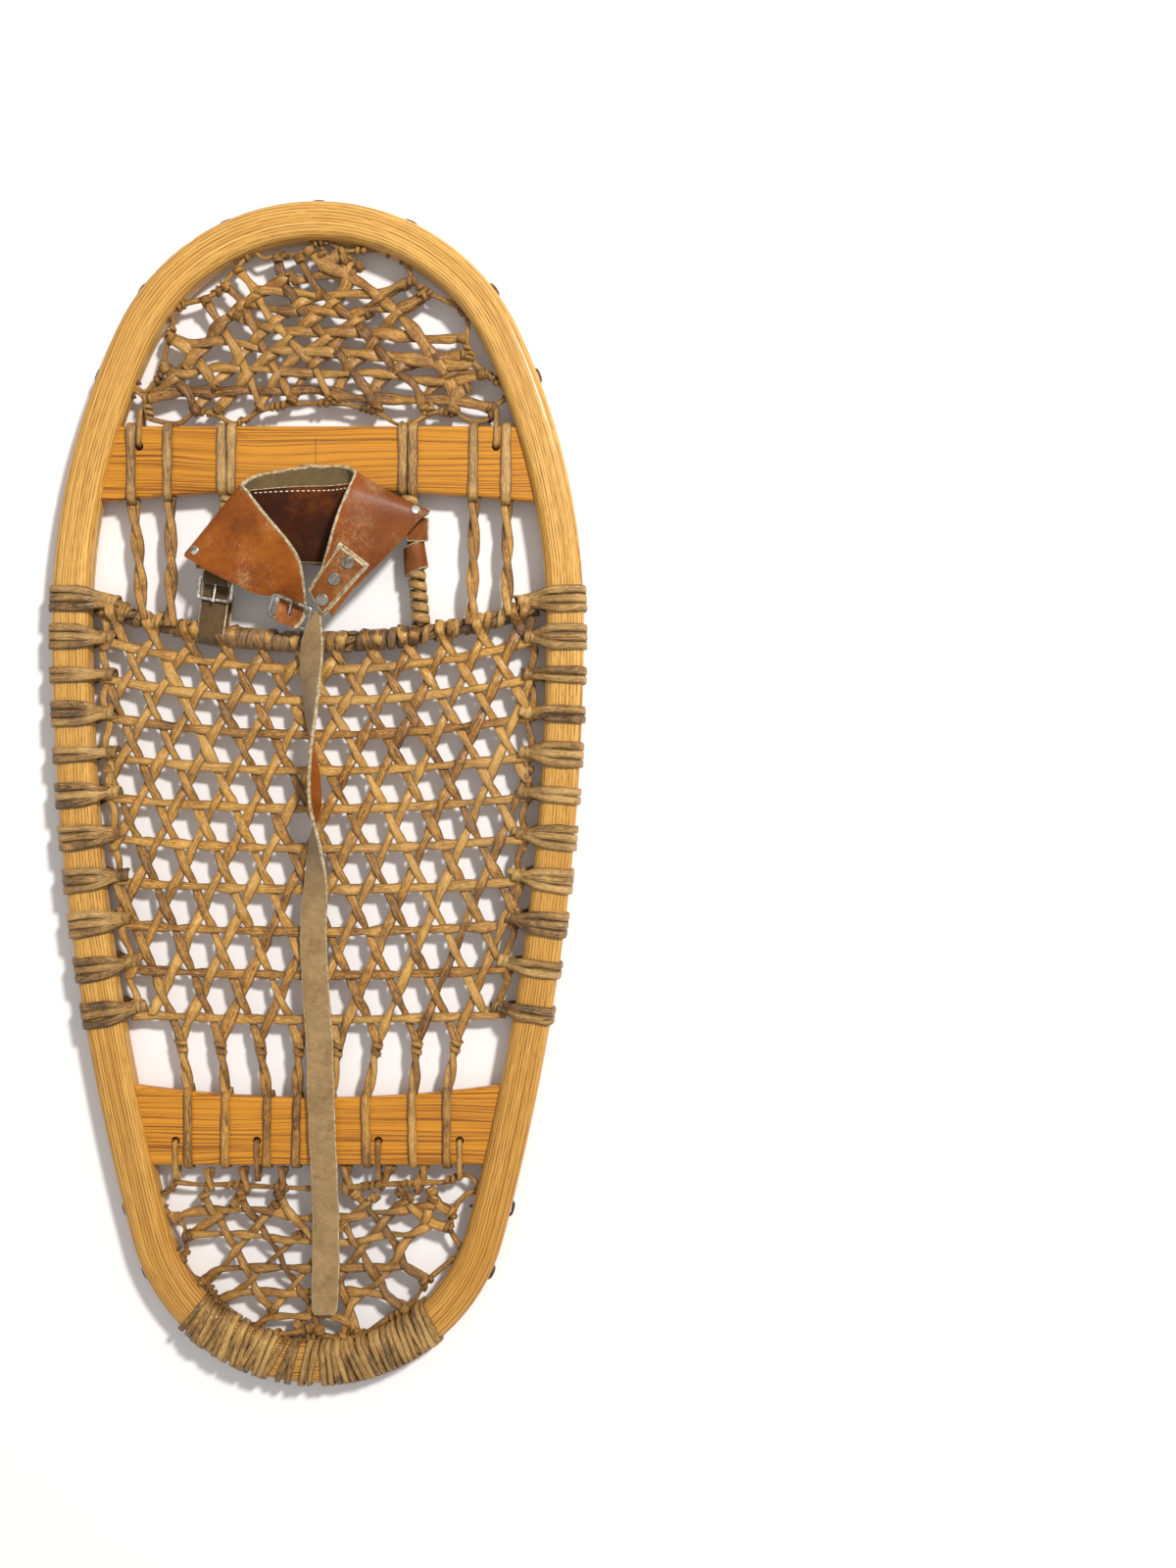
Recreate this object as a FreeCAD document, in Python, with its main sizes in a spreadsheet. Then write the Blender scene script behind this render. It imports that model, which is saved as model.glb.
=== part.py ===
import FreeCAD, Part
import math
import os
from types import SimpleNamespace

# Bear paw snowshoe, lying flat.
# +Y points to the toe, +X to the right, +Z up. The origin is under the middle of the hoop.
# Lengths are in millimetres and turns in degrees.

SIZES = {
    # Bent ash hoop: an oval of four tangent arcs a side, seen from above
    "overall_length": 736.0,
    "hoop_width": 330.0,
    "front_length": 262.0,
    "toe_turn": 65.0,
    "heel_turn": 75.0,
    "rail_width": 23.5,
    "rail_thickness": 19.0,
    "rail_round": 6.0,
    "scarf_turn": 20.0,
    "scarf_gap": 0.4,
    # Crossbars and their tenons
    "bar_thickness": 9.0,
    "bar_round": 2.2,
    "toe_bar_front": 227.0,
    "toe_bar_waist": 39.5,
    "toe_bar_shoulder": 47.0,
    "heel_bar_rear": -231.4,
    "heel_bar_waist": 41.4,
    "heel_bar_shoulder": 49.4,
    "tenon_width": 27.0,
    "tenon_thickness": 6.0,
    "tenon_wall": 7.0,
    "tie_hole": 5.2,
    "toe_tie_inset": 13.0,
    "heel_tie_inset": 15.4,
    "toe_tie_spread": 110.5,
    "heel_tie_inner": 37.6,
    "heel_tie_outer": 88.0,
    # Rawhide thongs
    "wrap_thickness": 1.8,
    "wrap_gap": 0.12,
    "wrap_width": 5.0,
    "wrap_pitch": 5.25,
    "thong_gap": 0.1,
    "net_thong_width": 4.4,
    "net_thong_thickness": 1.5,
    "end_thong_width": 3.0,
    "end_thong_thickness": 1.3,
    "selvage_width": 4.0,
    "selvage_thickness": 4.0,
    "stitch_hole": 3.4,
    "stitch_leg": 2.8,
    "stitch_spacing": 9.0,
    "stitch_width": 4.4,
    # Cords around the toe hole
    "cord_diameter": 9.5,
    "cord_middle": 93.2,
    "cord_sag": 23.4,
    "side_cord_diameter": 9.0,
    "side_cord_top": 56.0,
    "side_cord_foot": 64.0,
    "serving_thickness": 1.6,
    "serving_width": 4.6,
    "serving_pitch": 4.9,
    # Nets
    "body_row_count": 10,
    "body_edge_start": 119.4,
    "body_first_pitch": 22.9,
    "body_pitch_growth": 0.27,
    "body_sag_end": 4.0,
    "body_sag_drop": 22.0,
    "body_sag_rows": 3.2,
    "body_cell": 22.6,
    "body_cell_growth": 0.18,
    "toe_row_count": 7,
    "toe_row_pitch": 12.2,
    "toe_cell": 22.0,
    "toe_net_bow": 9.0,
    "heel_row_count": 6,
    "heel_row_pitch": 16.0,
    "heel_cell": 25.0,
    "edge_thong_inset": 6.0,
    # Binding
    "leather": 2.4,
    "lining": 1.2,
    "hinge_ahead": 38.65,
    "rivet_head": 8.4,
    "rivet_head_height": 1.3,
    "rivet_shank": 3.0,
    "small_rivet_head": 6.0,
    "strap_width": 16.5,
    "anchor_strap_width": 17.0,
    "anchor_strap_length": 34.0,
    "anchor_tail": 26.0,
    "anchor_strap_x": -66.0,
    "anchor_turn": -8.0,
    "anchor_leather": 2.2,
    "anchor_gap": 0.3,
    "right_loop_middle": 145.3,
    "right_loop_length": 17.5,
    # Buckles: wire frames with a prong on the pivot bar
    "wire": 2.2,
    "wire_round": 0.9,
    "front_buckle_width": 27.0,
    "front_buckle_length": 16.4,
    "anchor_buckle_width": 22.5,
    "anchor_buckle_length": 15.4,
    "prong_diameter": 1.9,
    "prong_eye_gap": 0.35,
    "prong_eye_wall": 1.0,
    "prong_eye_width": 3.0,
    "prong_slot": 4.4,
}

doc = FreeCAD.newDocument("BearPawSnowshoe")
sheet = doc.addObject("Spreadsheet::Sheet", "Sizes")
for row, (alias, value) in enumerate(SIZES.items(), start=1):
    sheet.set(f"A{row}", alias)
    sheet.set(f"B{row}", str(value))
    sheet.setAlias(f"B{row}", alias)
doc.recompute()
d = SimpleNamespace(**{alias: float(sheet.get(alias)) for alias in SIZES})

# Heights are measured from the net plane, the middle of the rail's thickness.
stand = d.wrap_thickness + d.wrap_gap
net_plane = stand + d.rail_thickness / 2
deck = d.bar_thickness / 2
half_width = d.hoop_width / 2
toe_tip = d.overall_length / 2 - stand
heel_tip = -toe_tip
widest_y = toe_tip - d.front_length
cord_radius = d.cord_diameter / 2
side_cord_radius = d.side_cord_diameter / 2
hinge_y = d.cord_middle + d.hinge_ahead
UP = FreeCAD.Vector(0, 0, 1)


def vector(x, y, z=0.0):
    return FreeCAD.Vector(x, y, z)


def at_net_plane(x=0.0, y=0.0, z=0.0, turn=0.0):
    """Placement above or below the net plane, turned about the vertical."""
    return FreeCAD.Placement(vector(x, y, net_plane + z), FreeCAD.Rotation(UP, turn))


pieces = []


def keep(item, label):
    """Name a finished sub-part and list it for export."""
    item.Label = label
    pieces.append(item)
    return item


def keep_shape(label, shape, placement=None):
    item = doc.addObject("Part::Feature", label)
    item.Shape = shape
    item.Placement = placement or at_net_plane()
    return keep(item, label)


# The outline of the hoop

def solve_hoop_arcs():
    """Centre x, centre y, radius and end headings of the right-hand arcs of the outer edge."""
    turn, rest = math.radians(d.toe_turn), math.radians(d.heel_turn)
    s, c = math.sin(turn), math.cos(turn)
    det = s * c - (1 - s) * (1 - c)
    toe_r = (half_width * c - d.front_length * (1 - s)) / det
    front_r = (d.front_length * s - half_width * (1 - c)) / det
    s, c = math.sin(rest), math.cos(rest)
    back_length = widest_y - heel_tip
    det = (1 - s) * (1 - c) - s * c
    rear_r = (half_width * (1 - c) - back_length * s) / det
    heel_r = (back_length * (1 - s) - half_width * c) / det
    return [
        (0.0, toe_tip - toe_r, toe_r, 90.0, 90.0 - d.toe_turn),
        (half_width - front_r, widest_y, front_r, 90.0 - d.toe_turn, 0.0),
        (half_width - rear_r, widest_y, rear_r, 0.0, d.heel_turn - 90.0),
        (0.0, heel_tip + heel_r, heel_r, d.heel_turn - 90.0, -90.0),
    ]


arcs = solve_hoop_arcs()


def heading_at(y, inset):
    """Arc and heading, in degrees, where the outline at this inset passes height y."""
    for centre_x, centre_y, radius, first, last in arcs:
        ratio = (y - centre_y) / (radius - inset)
        if math.sin(math.radians(last)) - 1e-9 <= ratio <= math.sin(math.radians(first)) + 1e-9:
            return (centre_x, centre_y, radius), math.degrees(math.asin(max(-1.0, min(1.0, ratio))))
    return None, 0.0


def half_x(y, inset):
    """Half the width between the outlines at this inset, or 0 beyond the tips."""
    arc, heading = heading_at(y, inset)
    if arc is None:
        return 0.0
    return arc[0] + (arc[2] - inset) * math.cos(math.radians(heading))


def walk(distance, from_toe):
    """Arc and heading at a distance along the outer edge from the toe or heel tip."""
    near, far = (arcs[0], arcs[1]) if from_toe else (arcs[3], arcs[2])
    step = 1 if from_toe else -1
    turn = math.degrees(abs(distance) / near[2])
    limit = d.toe_turn if from_toe else d.heel_turn
    if turn <= limit:
        return near[:3], step * (90.0 - turn)
    beyond = math.degrees((math.radians(turn) - math.radians(limit)) * near[2] / far[2])
    return far[:3], step * (90.0 - limit - beyond)


def outline_arcs(inset):
    """The six arcs of the whole oval at this inset, anticlockwise, as sketch geometry."""
    toe, front, rear, heel = arcs
    spans = [
        (toe, 90 - d.toe_turn, 90 + d.toe_turn, 1),
        (front, 90 + d.toe_turn, 180, -1),
        (rear, 180, 270 - d.heel_turn, -1),
        (heel, 270 - d.heel_turn, 270 + d.heel_turn, 1),
        (rear, d.heel_turn - 90, 0, 1),
        (front, 0, 90 - d.toe_turn, 1),
    ]
    result = []
    for arc, first, last, side in spans:
        circle = Part.Circle(vector(side * arc[0], arc[1]), UP, arc[2] - inset)
        result.append(Part.ArcOfCircle(circle, math.radians(first), math.radians(last)))
    return result


def oval_prism(inset, low, high):
    wire = Part.Wire([arc.toShape() for arc in outline_arcs(inset)])
    return Part.Face(wire).extrude(UP * (high - low)).translated(UP * low)


def bow_y(x, middle_y, edge_y):
    """Height at x of the arc through middle_y on the axis and edge_y at the hoop's half width."""
    rise = middle_y - edge_y
    if abs(rise) < 1e-6:
        return middle_y
    radius = (half_width ** 2 + rise ** 2) / (2 * abs(rise))
    drop = radius - math.sqrt(radius ** 2 - min(abs(x), half_width) ** 2)
    return middle_y - math.copysign(drop, rise)


def beyond_bow(middle_y, edge_y, low, high):
    """Prism of the plan on the far side of a bowed line, away from the hoop's middle."""
    far_y = math.copysign(d.overall_length, middle_y)
    left, middle, right = vector(-half_width, edge_y), vector(0, middle_y), vector(half_width, edge_y)
    edges = [Part.Arc(left, middle, right).toShape()]
    corners = [right, vector(half_width, far_y), vector(-half_width, far_y), left]
    edges += [Part.makeLine(a, b) for a, b in zip(corners, corners[1:])]
    return Part.Face(Part.Wire(edges)).extrude(UP * (high - low)).translated(UP * low)


# PartDesign helpers

def new_body(label):
    return doc.addObject("PartDesign::Body", label + "_body")


def plane_of(body, role):
    return next(item for item in body.Origin.OriginFeatures if item.Role == role)


def sketch_on(body, name, geometry, role="XY_Plane"):
    sketch = body.newObject("Sketcher::SketchObject", name)
    sketch.AttachmentSupport = (plane_of(body, role), [""])
    sketch.MapMode = "FlatFace"
    sketch.addGeometry(geometry, False)
    return sketch


def pad_on(body, name, sketch, expression):
    pad = body.newObject("PartDesign::Pad", name)
    pad.Profile = sketch
    pad.setExpression("Length", expression)
    sketch.Visibility = False
    doc.recompute()
    return pad


def fillet_on(body, name, base, edge_names, expression):
    fillet = body.newObject("PartDesign::Fillet", name)
    fillet.Base = (base, edge_names)
    fillet.setExpression("Radius", expression)
    doc.recompute()
    return fillet


def edges_where(shape, test):
    return [f"Edge{number}" for number, edge in enumerate(shape.Edges, start=1) if test(edge)]


def is_flat_edge(edge):
    return abs(edge.BoundBox.ZLength) < 1e-6


# Crossbars: tapered in plan, waisted on the net side, tenoned into the rails

def bar_outline(outer_y, waist, shoulder, inward, gap):
    """Sketch geometry of a crossbar: straight outer edge, arc ends along the rail, arc inner edge."""
    inner_y = outer_y + inward * shoulder
    middle_y = outer_y + inward * (waist + shoulder) / 2
    inset = d.rail_width + gap
    corner = [vector(half_x(y, inset), y) for y in (outer_y, middle_y, inner_y)]
    mirror = [vector(-p.x, p.y) for p in corner]
    waist_point = vector(0, outer_y + inward * waist)
    return [
        Part.LineSegment(mirror[0], corner[0]),
        Part.Arc(corner[0], corner[1], corner[2]),
        Part.Arc(corner[2], waist_point, mirror[2]),
        Part.Arc(mirror[2], mirror[1], mirror[0]),
    ]


def tenon_reach(outer_y, inward):
    """Half length over the tenons, which stop short of the rail's outer face."""
    middle_y = outer_y + inward * d.toe_bar_shoulder / 2
    edges = (middle_y - d.tenon_width / 2, middle_y + d.tenon_width / 2)
    return middle_y, min(half_x(y, d.tenon_wall) for y in edges)


def make_crossbar(label, outer_y, waist, shoulder, inward, holes):
    body = new_body(label)
    plan = sketch_on(body, label + "_plan", bar_outline(outer_y, waist, shoulder, inward, d.wrap_gap))
    pad = pad_on(body, label + "_pad", plan, "Sizes.bar_thickness")
    long_edges = edges_where(pad.Shape, lambda e: is_flat_edge(e) and e.Length > half_width)
    fillet_on(body, label + "_round", pad, long_edges, "Sizes.bar_round")
    middle_y, reach = tenon_reach(outer_y, inward)
    low, high = middle_y - d.tenon_width / 2, middle_y + d.tenon_width / 2
    corners = [vector(-reach, low), vector(reach, low), vector(reach, high), vector(-reach, high)]
    tenon = sketch_on(body, label + "_tenon_plan",
                      [Part.LineSegment(a, b) for a, b in zip(corners, corners[1:] + corners[:1])])
    tenon.setExpression("AttachmentOffset.Base.z", "(Sizes.bar_thickness - Sizes.tenon_thickness) / 2")
    solid = pad_on(body, label + "_tenon", tenon, "Sizes.tenon_thickness")
    circles = [Part.Circle(vector(x, y), UP, d.tie_hole / 2) for x, y in holes]
    drill = sketch_on(body, label + "_holes", circles)
    pocket = body.newObject("PartDesign::Pocket", label + "_drill")
    pocket.Profile = drill
    pocket.setExpression("Length", "Sizes.bar_thickness * 2")
    pocket.Reversed = True
    doc.recompute()
    assert pocket.Shape.Volume < solid.Shape.Volume, label + " holes cut nothing"
    body.setExpression("Placement.Base.z",
                       "Sizes.wrap_thickness + Sizes.wrap_gap"
                       " + (Sizes.rail_thickness - Sizes.bar_thickness) / 2")
    return keep(body, label)


toe_tie_y = d.toe_bar_front - d.toe_tie_inset
heel_tie_y = d.heel_bar_rear + d.heel_tie_inset
toe_tie_holes = [(x, toe_tie_y) for x in (-d.toe_tie_spread, d.toe_tie_spread)]
heel_tie_holes = [(side * x, heel_tie_y) for x in (d.heel_tie_inner, d.heel_tie_outer) for side in (-1, 1)]


# Hoop: a padded oval, rounded, mortised, drilled for the stitches and slit along its scarf joint

STITCHES_FROM_TOE = (0.0, 59.0, -59.0, 126.0, -126.0, 186.0, -186.0)
STITCHES_FROM_HEEL = (133.5, -133.5, 175.0, -175.0)


def stitch_frames():
    """Placements on the rail's outer face: x along the rail, y outwards."""
    stations = [(s, True) for s in STITCHES_FROM_TOE] + [(s, False) for s in STITCHES_FROM_HEEL]
    frames = []
    for distance, from_toe in stations:
        arc, heading = walk(distance, from_toe)
        side = -1 if distance < 0 else 1
        angle = math.radians(heading)
        out = vector(side * math.cos(angle), math.sin(angle))
        point = vector(side * arc[0], arc[1]) + out * arc[2]
        frames.append(FreeCAD.Placement(point, FreeCAD.Rotation(vector(0, 1), out)))
    return frames


def stitch_holes():
    drills = []
    for frame in stitch_frames():
        for along in (-d.stitch_spacing / 2, d.stitch_spacing / 2):
            start = vector(along, d.rail_width * 0.2)
            hole = Part.makeCylinder(d.stitch_hole / 2, d.rail_width * 1.4, start, vector(0, -1))
            drills.append(hole.transformed(frame.toMatrix()))
    return Part.makeCompound(drills)


def scarf_slit():
    """Thin bowed cut from the outer to the inner face across the heel, where the ends overlap."""
    centre_y, radius = arcs[3][1], arcs[3][2]
    spill = d.scarf_gap * 4

    def on_heel(turn, r):
        angle = math.radians(-90 + turn)
        return vector(r * math.cos(angle), centre_y + r * math.sin(angle))

    start = on_heel(-d.scarf_turn, radius + spill)
    middle = on_heel(0, radius - d.rail_width / 2)
    end = on_heel(d.scarf_turn, radius - d.rail_width - spill)
    shift = vector(0, d.scarf_gap)
    edges = [
        Part.Arc(start, middle, end).toShape(), Part.makeLine(end, end + shift),
        Part.Arc(end + shift, middle + shift, start + shift).toShape(), Part.makeLine(start + shift, start),
    ]
    depth = d.rail_thickness * 2
    return Part.Face(Part.Wire(edges)).extrude(UP * depth).translated(UP * (-depth / 2))


def make_hoop():
    body = new_body("hoop")
    plan = sketch_on(body, "hoop_plan", outline_arcs(0) + outline_arcs(d.rail_width))
    pad = pad_on(body, "hoop_pad", plan, "Sizes.rail_thickness")
    fillet_on(body, "hoop_round", pad, edges_where(pad.Shape, is_flat_edge), "Sizes.rail_round")
    body.setExpression("Placement.Base.z", "Sizes.wrap_thickness + Sizes.wrap_gap")
    cutters = []
    for outer_y, inward in ((d.toe_bar_front, -1), (d.heel_bar_rear, 1)):
        middle_y, reach = tenon_reach(outer_y, inward)
        mortise = doc.addObject("Part::Box", "mortise")
        mortise.Length = 2 * (reach + d.thong_gap)
        mortise.setExpression("Width", "Sizes.tenon_width + 2 * Sizes.thong_gap")
        mortise.setExpression("Height", "Sizes.tenon_thickness + 2 * Sizes.thong_gap")
        mortise.Placement = at_net_plane(-reach - d.thong_gap, middle_y - d.tenon_width / 2 - d.thong_gap,
                                         -d.tenon_thickness / 2 - d.thong_gap)
        cutters.append(mortise)
    for name, shape in (("stitch_drills", stitch_holes()), ("scarf_cutter", scarf_slit())):
        cutter = doc.addObject("Part::Feature", name)
        cutter.Shape = shape
        cutter.Placement = at_net_plane()
        cutters.append(cutter)
    tools = doc.addObject("Part::Compound", "hoop_cutters")
    tools.Links = cutters
    hoop = doc.addObject("Part::Cut", "frame_hoop")
    hoop.Base = body
    hoop.Tool = tools
    return keep(hoop, "frame_hoop")


# Thongs: flat bands built from stations, all faces plane

def closed_solid(faces):
    solid = Part.makeSolid(Part.makeShell([Part.Face(Part.makePolygon(f + f[:1])) for f in faces]))
    return solid if solid.Volume > 0 else solid.reversed()


def ribbon(points, across, thickness):
    """Band through the points, with one direction across it all the way."""
    lift = UP * (thickness / 2)
    rings = [[p - across - lift, p + across - lift, p + across + lift, p - across + lift] for p in points]
    faces = [rings[0][::-1], rings[-1]]
    for a, b in zip(rings, rings[1:]):
        faces += [[a[k], a[(k + 1) % 4], b[(k + 1) % 4], b[k]] for k in range(4)]
    return closed_solid(faces)


def leather_strip(left, right, thickness):
    """Curved leather between two edges given point by point, its skins split into triangles."""
    count = len(left)
    rings = []
    for k in range(count):
        before, after = max(k - 1, 0), min(k + 1, count - 1)
        along = (left[after] + right[after]) - (left[before] + right[before])
        normal = (right[k] - left[k]).cross(along)
        normal.normalize()
        lift = normal * (thickness / 2)
        rings.append([left[k] - lift, right[k] - lift, right[k] + lift, left[k] + lift])
    faces = [rings[0][::-1], rings[-1]]
    for a, b in zip(rings, rings[1:]):
        for k in range(4):
            j = (k + 1) % 4
            faces += [[a[k], a[j], b[j]], [a[k], b[j], b[k]]]
    return closed_solid(faces)


# Rings of thong wound round the rail

def rounded_rectangle(width, height, radius):
    """Closed wire in the XZ plane, centred on the origin."""
    w, h, r = width / 2, height / 2, radius
    k = r * (1 - math.sqrt(0.5))
    points = [(w - r, -h), (w - k, -h + k), (w, -h + r), (w, h - r), (w - k, h - k), (w - r, h),
              (-w + r, h), (-w + k, h - k), (-w, h - r), (-w, -h + r), (-w + k, -h + k), (-w + r, -h)]
    p = [vector(x, 0, z) for x, z in points]
    edges = []
    for k in range(0, 12, 3):
        edges += [Part.Arc(p[k], p[k + 1], p[k + 2]).toShape(), Part.makeLine(p[k + 2], p[(k + 3) % 12])]
    return Part.Wire(edges)


def band_around(width, height, radius, thickness, gap, band_width):
    """Closed ring of thong about a rounded rectangle, lying along Y and centred on the origin."""
    outer = rounded_rectangle(width + 2 * (gap + thickness), height + 2 * (gap + thickness),
                              radius + gap + thickness)
    inner = rounded_rectangle(width + 2 * gap, height + 2 * gap, radius + gap)
    ring = Part.makeFace([outer, inner], "Part::FaceMakerBullseye").extrude(vector(0, band_width))
    return ring.translated(vector(0, -band_width / 2))


def rail_ring(arc, heading, side):
    """One turn of thong round the rail where its outline has this heading."""
    angle = math.radians(heading)
    out = vector(side * math.cos(angle), math.sin(angle))
    point = vector(side * arc[0], arc[1]) + out * (arc[2] - d.rail_width / 2)
    ring = band_around(d.rail_width, d.rail_thickness, d.rail_round, d.wrap_thickness, d.wrap_gap,
                       d.wrap_width)
    return ring.transformed(FreeCAD.Placement(point, FreeCAD.Rotation(vector(1, 0), out)).toMatrix())


def rings_at(middle_y, turns, side):
    rings = []
    for k in range(turns):
        y = middle_y + (k - (turns - 1) / 2) * d.wrap_pitch
        arc, heading = heading_at(y, d.rail_width / 2)
        rings.append(rail_ring(arc, heading, side))
    return rings


LEFT_TURNS = (3, 3, 2, 3, 2, 3, 3, 3, 3, 3, 3)
RIGHT_TURNS = (3, 3, 2, 2, 3, 2, 3, 3, 3, 2, 2)


def body_edge_y(v):
    """Where row v of the body net meets the rails; row 0 is the toe cord."""
    return d.body_edge_start - d.body_first_pitch * v - d.body_pitch_growth * v ** 2


def make_rail_wraps(label, side, turns_of_row):
    rings = []
    for row, turns in enumerate(turns_of_row[:int(d.body_row_count) + 1]):
        rings += rings_at(body_edge_y(row), turns, side)
    return keep_shape(label, Part.makeCompound(rings))


# Distances of the heel lashing's turns from the heel tip, left end to right end
LASHING_CLOSE_LEFT = (-92.0, 9)
LASHING_LOOSE = (-34.0, -24.0, -14.5, -5.0)
LASHING_CLOSE_RIGHT = (6.0, 14)


def make_heel_lashing():
    pitch = d.wrap_width * 1.16
    distances = [LASHING_CLOSE_LEFT[0] + k * pitch for k in range(LASHING_CLOSE_LEFT[1])]
    distances += LASHING_LOOSE
    distances += [LASHING_CLOSE_RIGHT[0] + k * pitch for k in range(LASHING_CLOSE_RIGHT[1])]
    rings = []
    for distance in distances:
        arc, heading = walk(distance, False)
        rings.append(rail_ring(arc, heading, -1 if distance < 0 else 1))
    return keep_shape("heel_lashing", Part.makeCompound(rings))


def make_rail_stitches():
    """Staples of thong: a flat bridge outside the rail and two legs through it."""
    staples = []
    bridge_length = d.stitch_spacing + d.stitch_width
    for frame in stitch_frames():
        staple = Part.makeBox(bridge_length, d.wrap_thickness, d.stitch_width,
                              vector(-bridge_length / 2, d.wrap_gap, -d.stitch_width / 2))
        for along in (-d.stitch_spacing / 2, d.stitch_spacing / 2):
            leg = Part.makeCylinder(d.stitch_leg / 2, d.rail_width + d.wrap_gap * 3,
                                    vector(along, d.wrap_gap + d.wrap_thickness / 2), vector(0, -1))
            staple = staple.fuse(leg)
        staples.append(staple.removeSplitter().transformed(frame.toMatrix()))
    return keep_shape("rail_stitches", Part.makeCompound(staples))


# Woven nets: rows in the net plane, one set of diagonals over them and one under

class Net:
    """A lattice of cells (u, v): rows at whole v, diagonals shifting half a cell a row."""

    def __init__(self, place, inside, last_v, width, thickness, zone):
        self.place = place
        self.inside = inside
        self.last_v = last_v
        self.width = width
        self.thickness = thickness
        self.row_zone, self.cross_zone = zone

    def height(self, v, sign):
        """Height of a diagonal: beyond the rows where it passes them, back past the other set."""
        layer = self.thickness + d.thong_gap
        offset = abs(v - round(v))
        if offset <= self.row_zone:
            share = 0.0
        elif offset >= 0.5 - self.cross_zone:
            share = 1.0
        else:
            share = (offset - self.row_zone) / (0.5 - self.cross_zone - self.row_zone)
        return sign * layer * (1.0 - 1.5 * share)

    def breaks(self):
        values = []
        for whole in range(int(self.last_v) + 2):
            values += [whole - self.row_zone, whole + self.row_zone,
                       whole + 0.5 - self.cross_zone, whole + 0.5 + self.cross_zone]
        return values

    def diagonal(self, index, lean):
        """Strand that leans right (1) or left (-1) as v grows, or None where it is too short."""
        sign = lean

        def at(v):
            return self.place(lean * (index + 0.25 + v / 2), v)

        def half_across(v):
            a, b = at(v - 0.1), at(v + 0.1)
            run = (b - a)
            return self.width / 2 * run.Length / abs(run.y)

        steps = 400
        across = half_across(self.last_v / 2)
        spans = [self.last_v * k / steps for k in range(steps + 1)]
        good = [v for v in spans if self.inside(at(v), across)]
        if not good:
            return None
        first, last = good[0], good[-1]
        if (at(last) - at(first)).Length < 3 * self.width:
            return None
        stations = [first] + [v for v in self.breaks() if first + 0.002 < v < last - 0.002] + [last]
        points = [at(v) + UP * self.height(v, sign) for v in stations]
        return ribbon(points, vector(across, 0), self.thickness)

    def diagonals(self, lean):
        reach = int(self.last_v) + 10
        strands = [self.diagonal(index, lean) for index in range(-reach, reach)]
        return Part.makeCompound([strand for strand in strands if strand])

    def row(self, v, inset):
        """Flat band from rail to rail along row v."""
        x = half_width
        for _ in range(20):
            y = self.place_x(x, v).y
            x = min(half_x(y + side * self.width / 2, inset) for side in (-1, 1)) - d.thong_gap
        count = 8
        points = [self.place_x(x * (2 * k / count - 1), v) for k in range(count + 1)]
        return ribbon(points, vector(0, self.width / 2), self.thickness)

    def place_x(self, x, v):
        unit = self.place(1.0, v).x
        return self.place(x / unit, v)

    def rows(self, numbers, inset):
        return Part.makeCompound([self.row(v, inset) for v in numbers])


rail_inset = d.rail_width + stand + d.thong_gap
net_edge_x = half_width - d.rail_width
toe_selvage_inset = d.rail_width + d.wrap_gap * 3
heel_selvage_inset = rail_inset
toe_end_inset = toe_selvage_inset + d.selvage_width + d.thong_gap
heel_end_inset = heel_selvage_inset + d.selvage_width + d.thong_gap


def bowed(x, edge_y, sag):
    return edge_y - sag * (1 - (x / net_edge_x) ** 2)


def cord_y(x):
    """Middle line of the toe cord, an arc that bows back towards the heel."""
    radius = cord_bow_radius()
    return d.cord_middle + radius - math.sqrt(radius ** 2 - min(abs(x), half_width) ** 2)


def cord_bow_radius():
    return (net_edge_x ** 2 + d.cord_sag ** 2) / (2 * d.cord_sag)


def place_body(u, v):
    x = u * (d.body_cell + d.body_cell_growth * v)
    sag = d.body_sag_end + d.body_sag_drop * math.exp(-v / d.body_sag_rows)
    return vector(x, bowed(x, body_edge_y(v), sag))


def inside_body(point, across):
    limit = half_x(point.y, rail_inset) - across
    behind_cord = min(cord_y(abs(point.x) - across), cord_y(abs(point.x) + across))
    near_anchor = abs(point.x - d.anchor_strap_x) < d.anchor_strap_width / 2 + across + 1
    room = d.anchor_gap + d.anchor_leather + d.thong_gap if near_anchor else d.serving_thickness
    return abs(point.x) < limit and point.y < behind_cord - cord_radius - room


def tie_room(x, across, holes):
    """Extra room a diagonal leaves where a bar's tie loop passes round the selvage."""
    near = any(abs(x - hole_x) < across + d.end_thong_width / 2 + d.thong_gap for hole_x, _ in holes)
    return d.end_thong_thickness + 2 * d.thong_gap if near else 0.0


body_last = d.body_row_count + 0.62
body_net = Net(place_body, inside_body, body_last, d.net_thong_width, d.net_thong_thickness, (0.155, 0.23))

toe_lower_middle = d.toe_bar_front + stand + d.toe_net_bow
toe_lower_edge = d.toe_bar_front + stand - d.toe_net_bow * 0.4


def place_toe(u, v):
    x = u * d.toe_cell
    base = bow_y(x, toe_lower_middle, toe_lower_edge)
    return vector(x, base + d.selvage_width + d.toe_row_pitch * (v - 0.35))


def inside_toe(point, across):
    base = bow_y(abs(point.x) + across, toe_lower_middle, toe_lower_edge)
    limit = half_x(point.y, toe_end_inset) - across
    top = max(bow_y(abs(point.x) - across, toe_lower_middle, toe_lower_edge), base)
    top += tie_room(point.x, across, toe_tie_holes)
    return abs(point.x) < limit and point.y > top + d.selvage_width + d.thong_gap


toe_net = Net(place_toe, inside_toe, d.toe_row_count + 1.6, d.end_thong_width, d.end_thong_thickness,
              (0.17, 0.2))

heel_upper_middle = d.heel_bar_rear - stand - 3.0
heel_upper_edge = d.heel_bar_rear - stand


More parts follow.
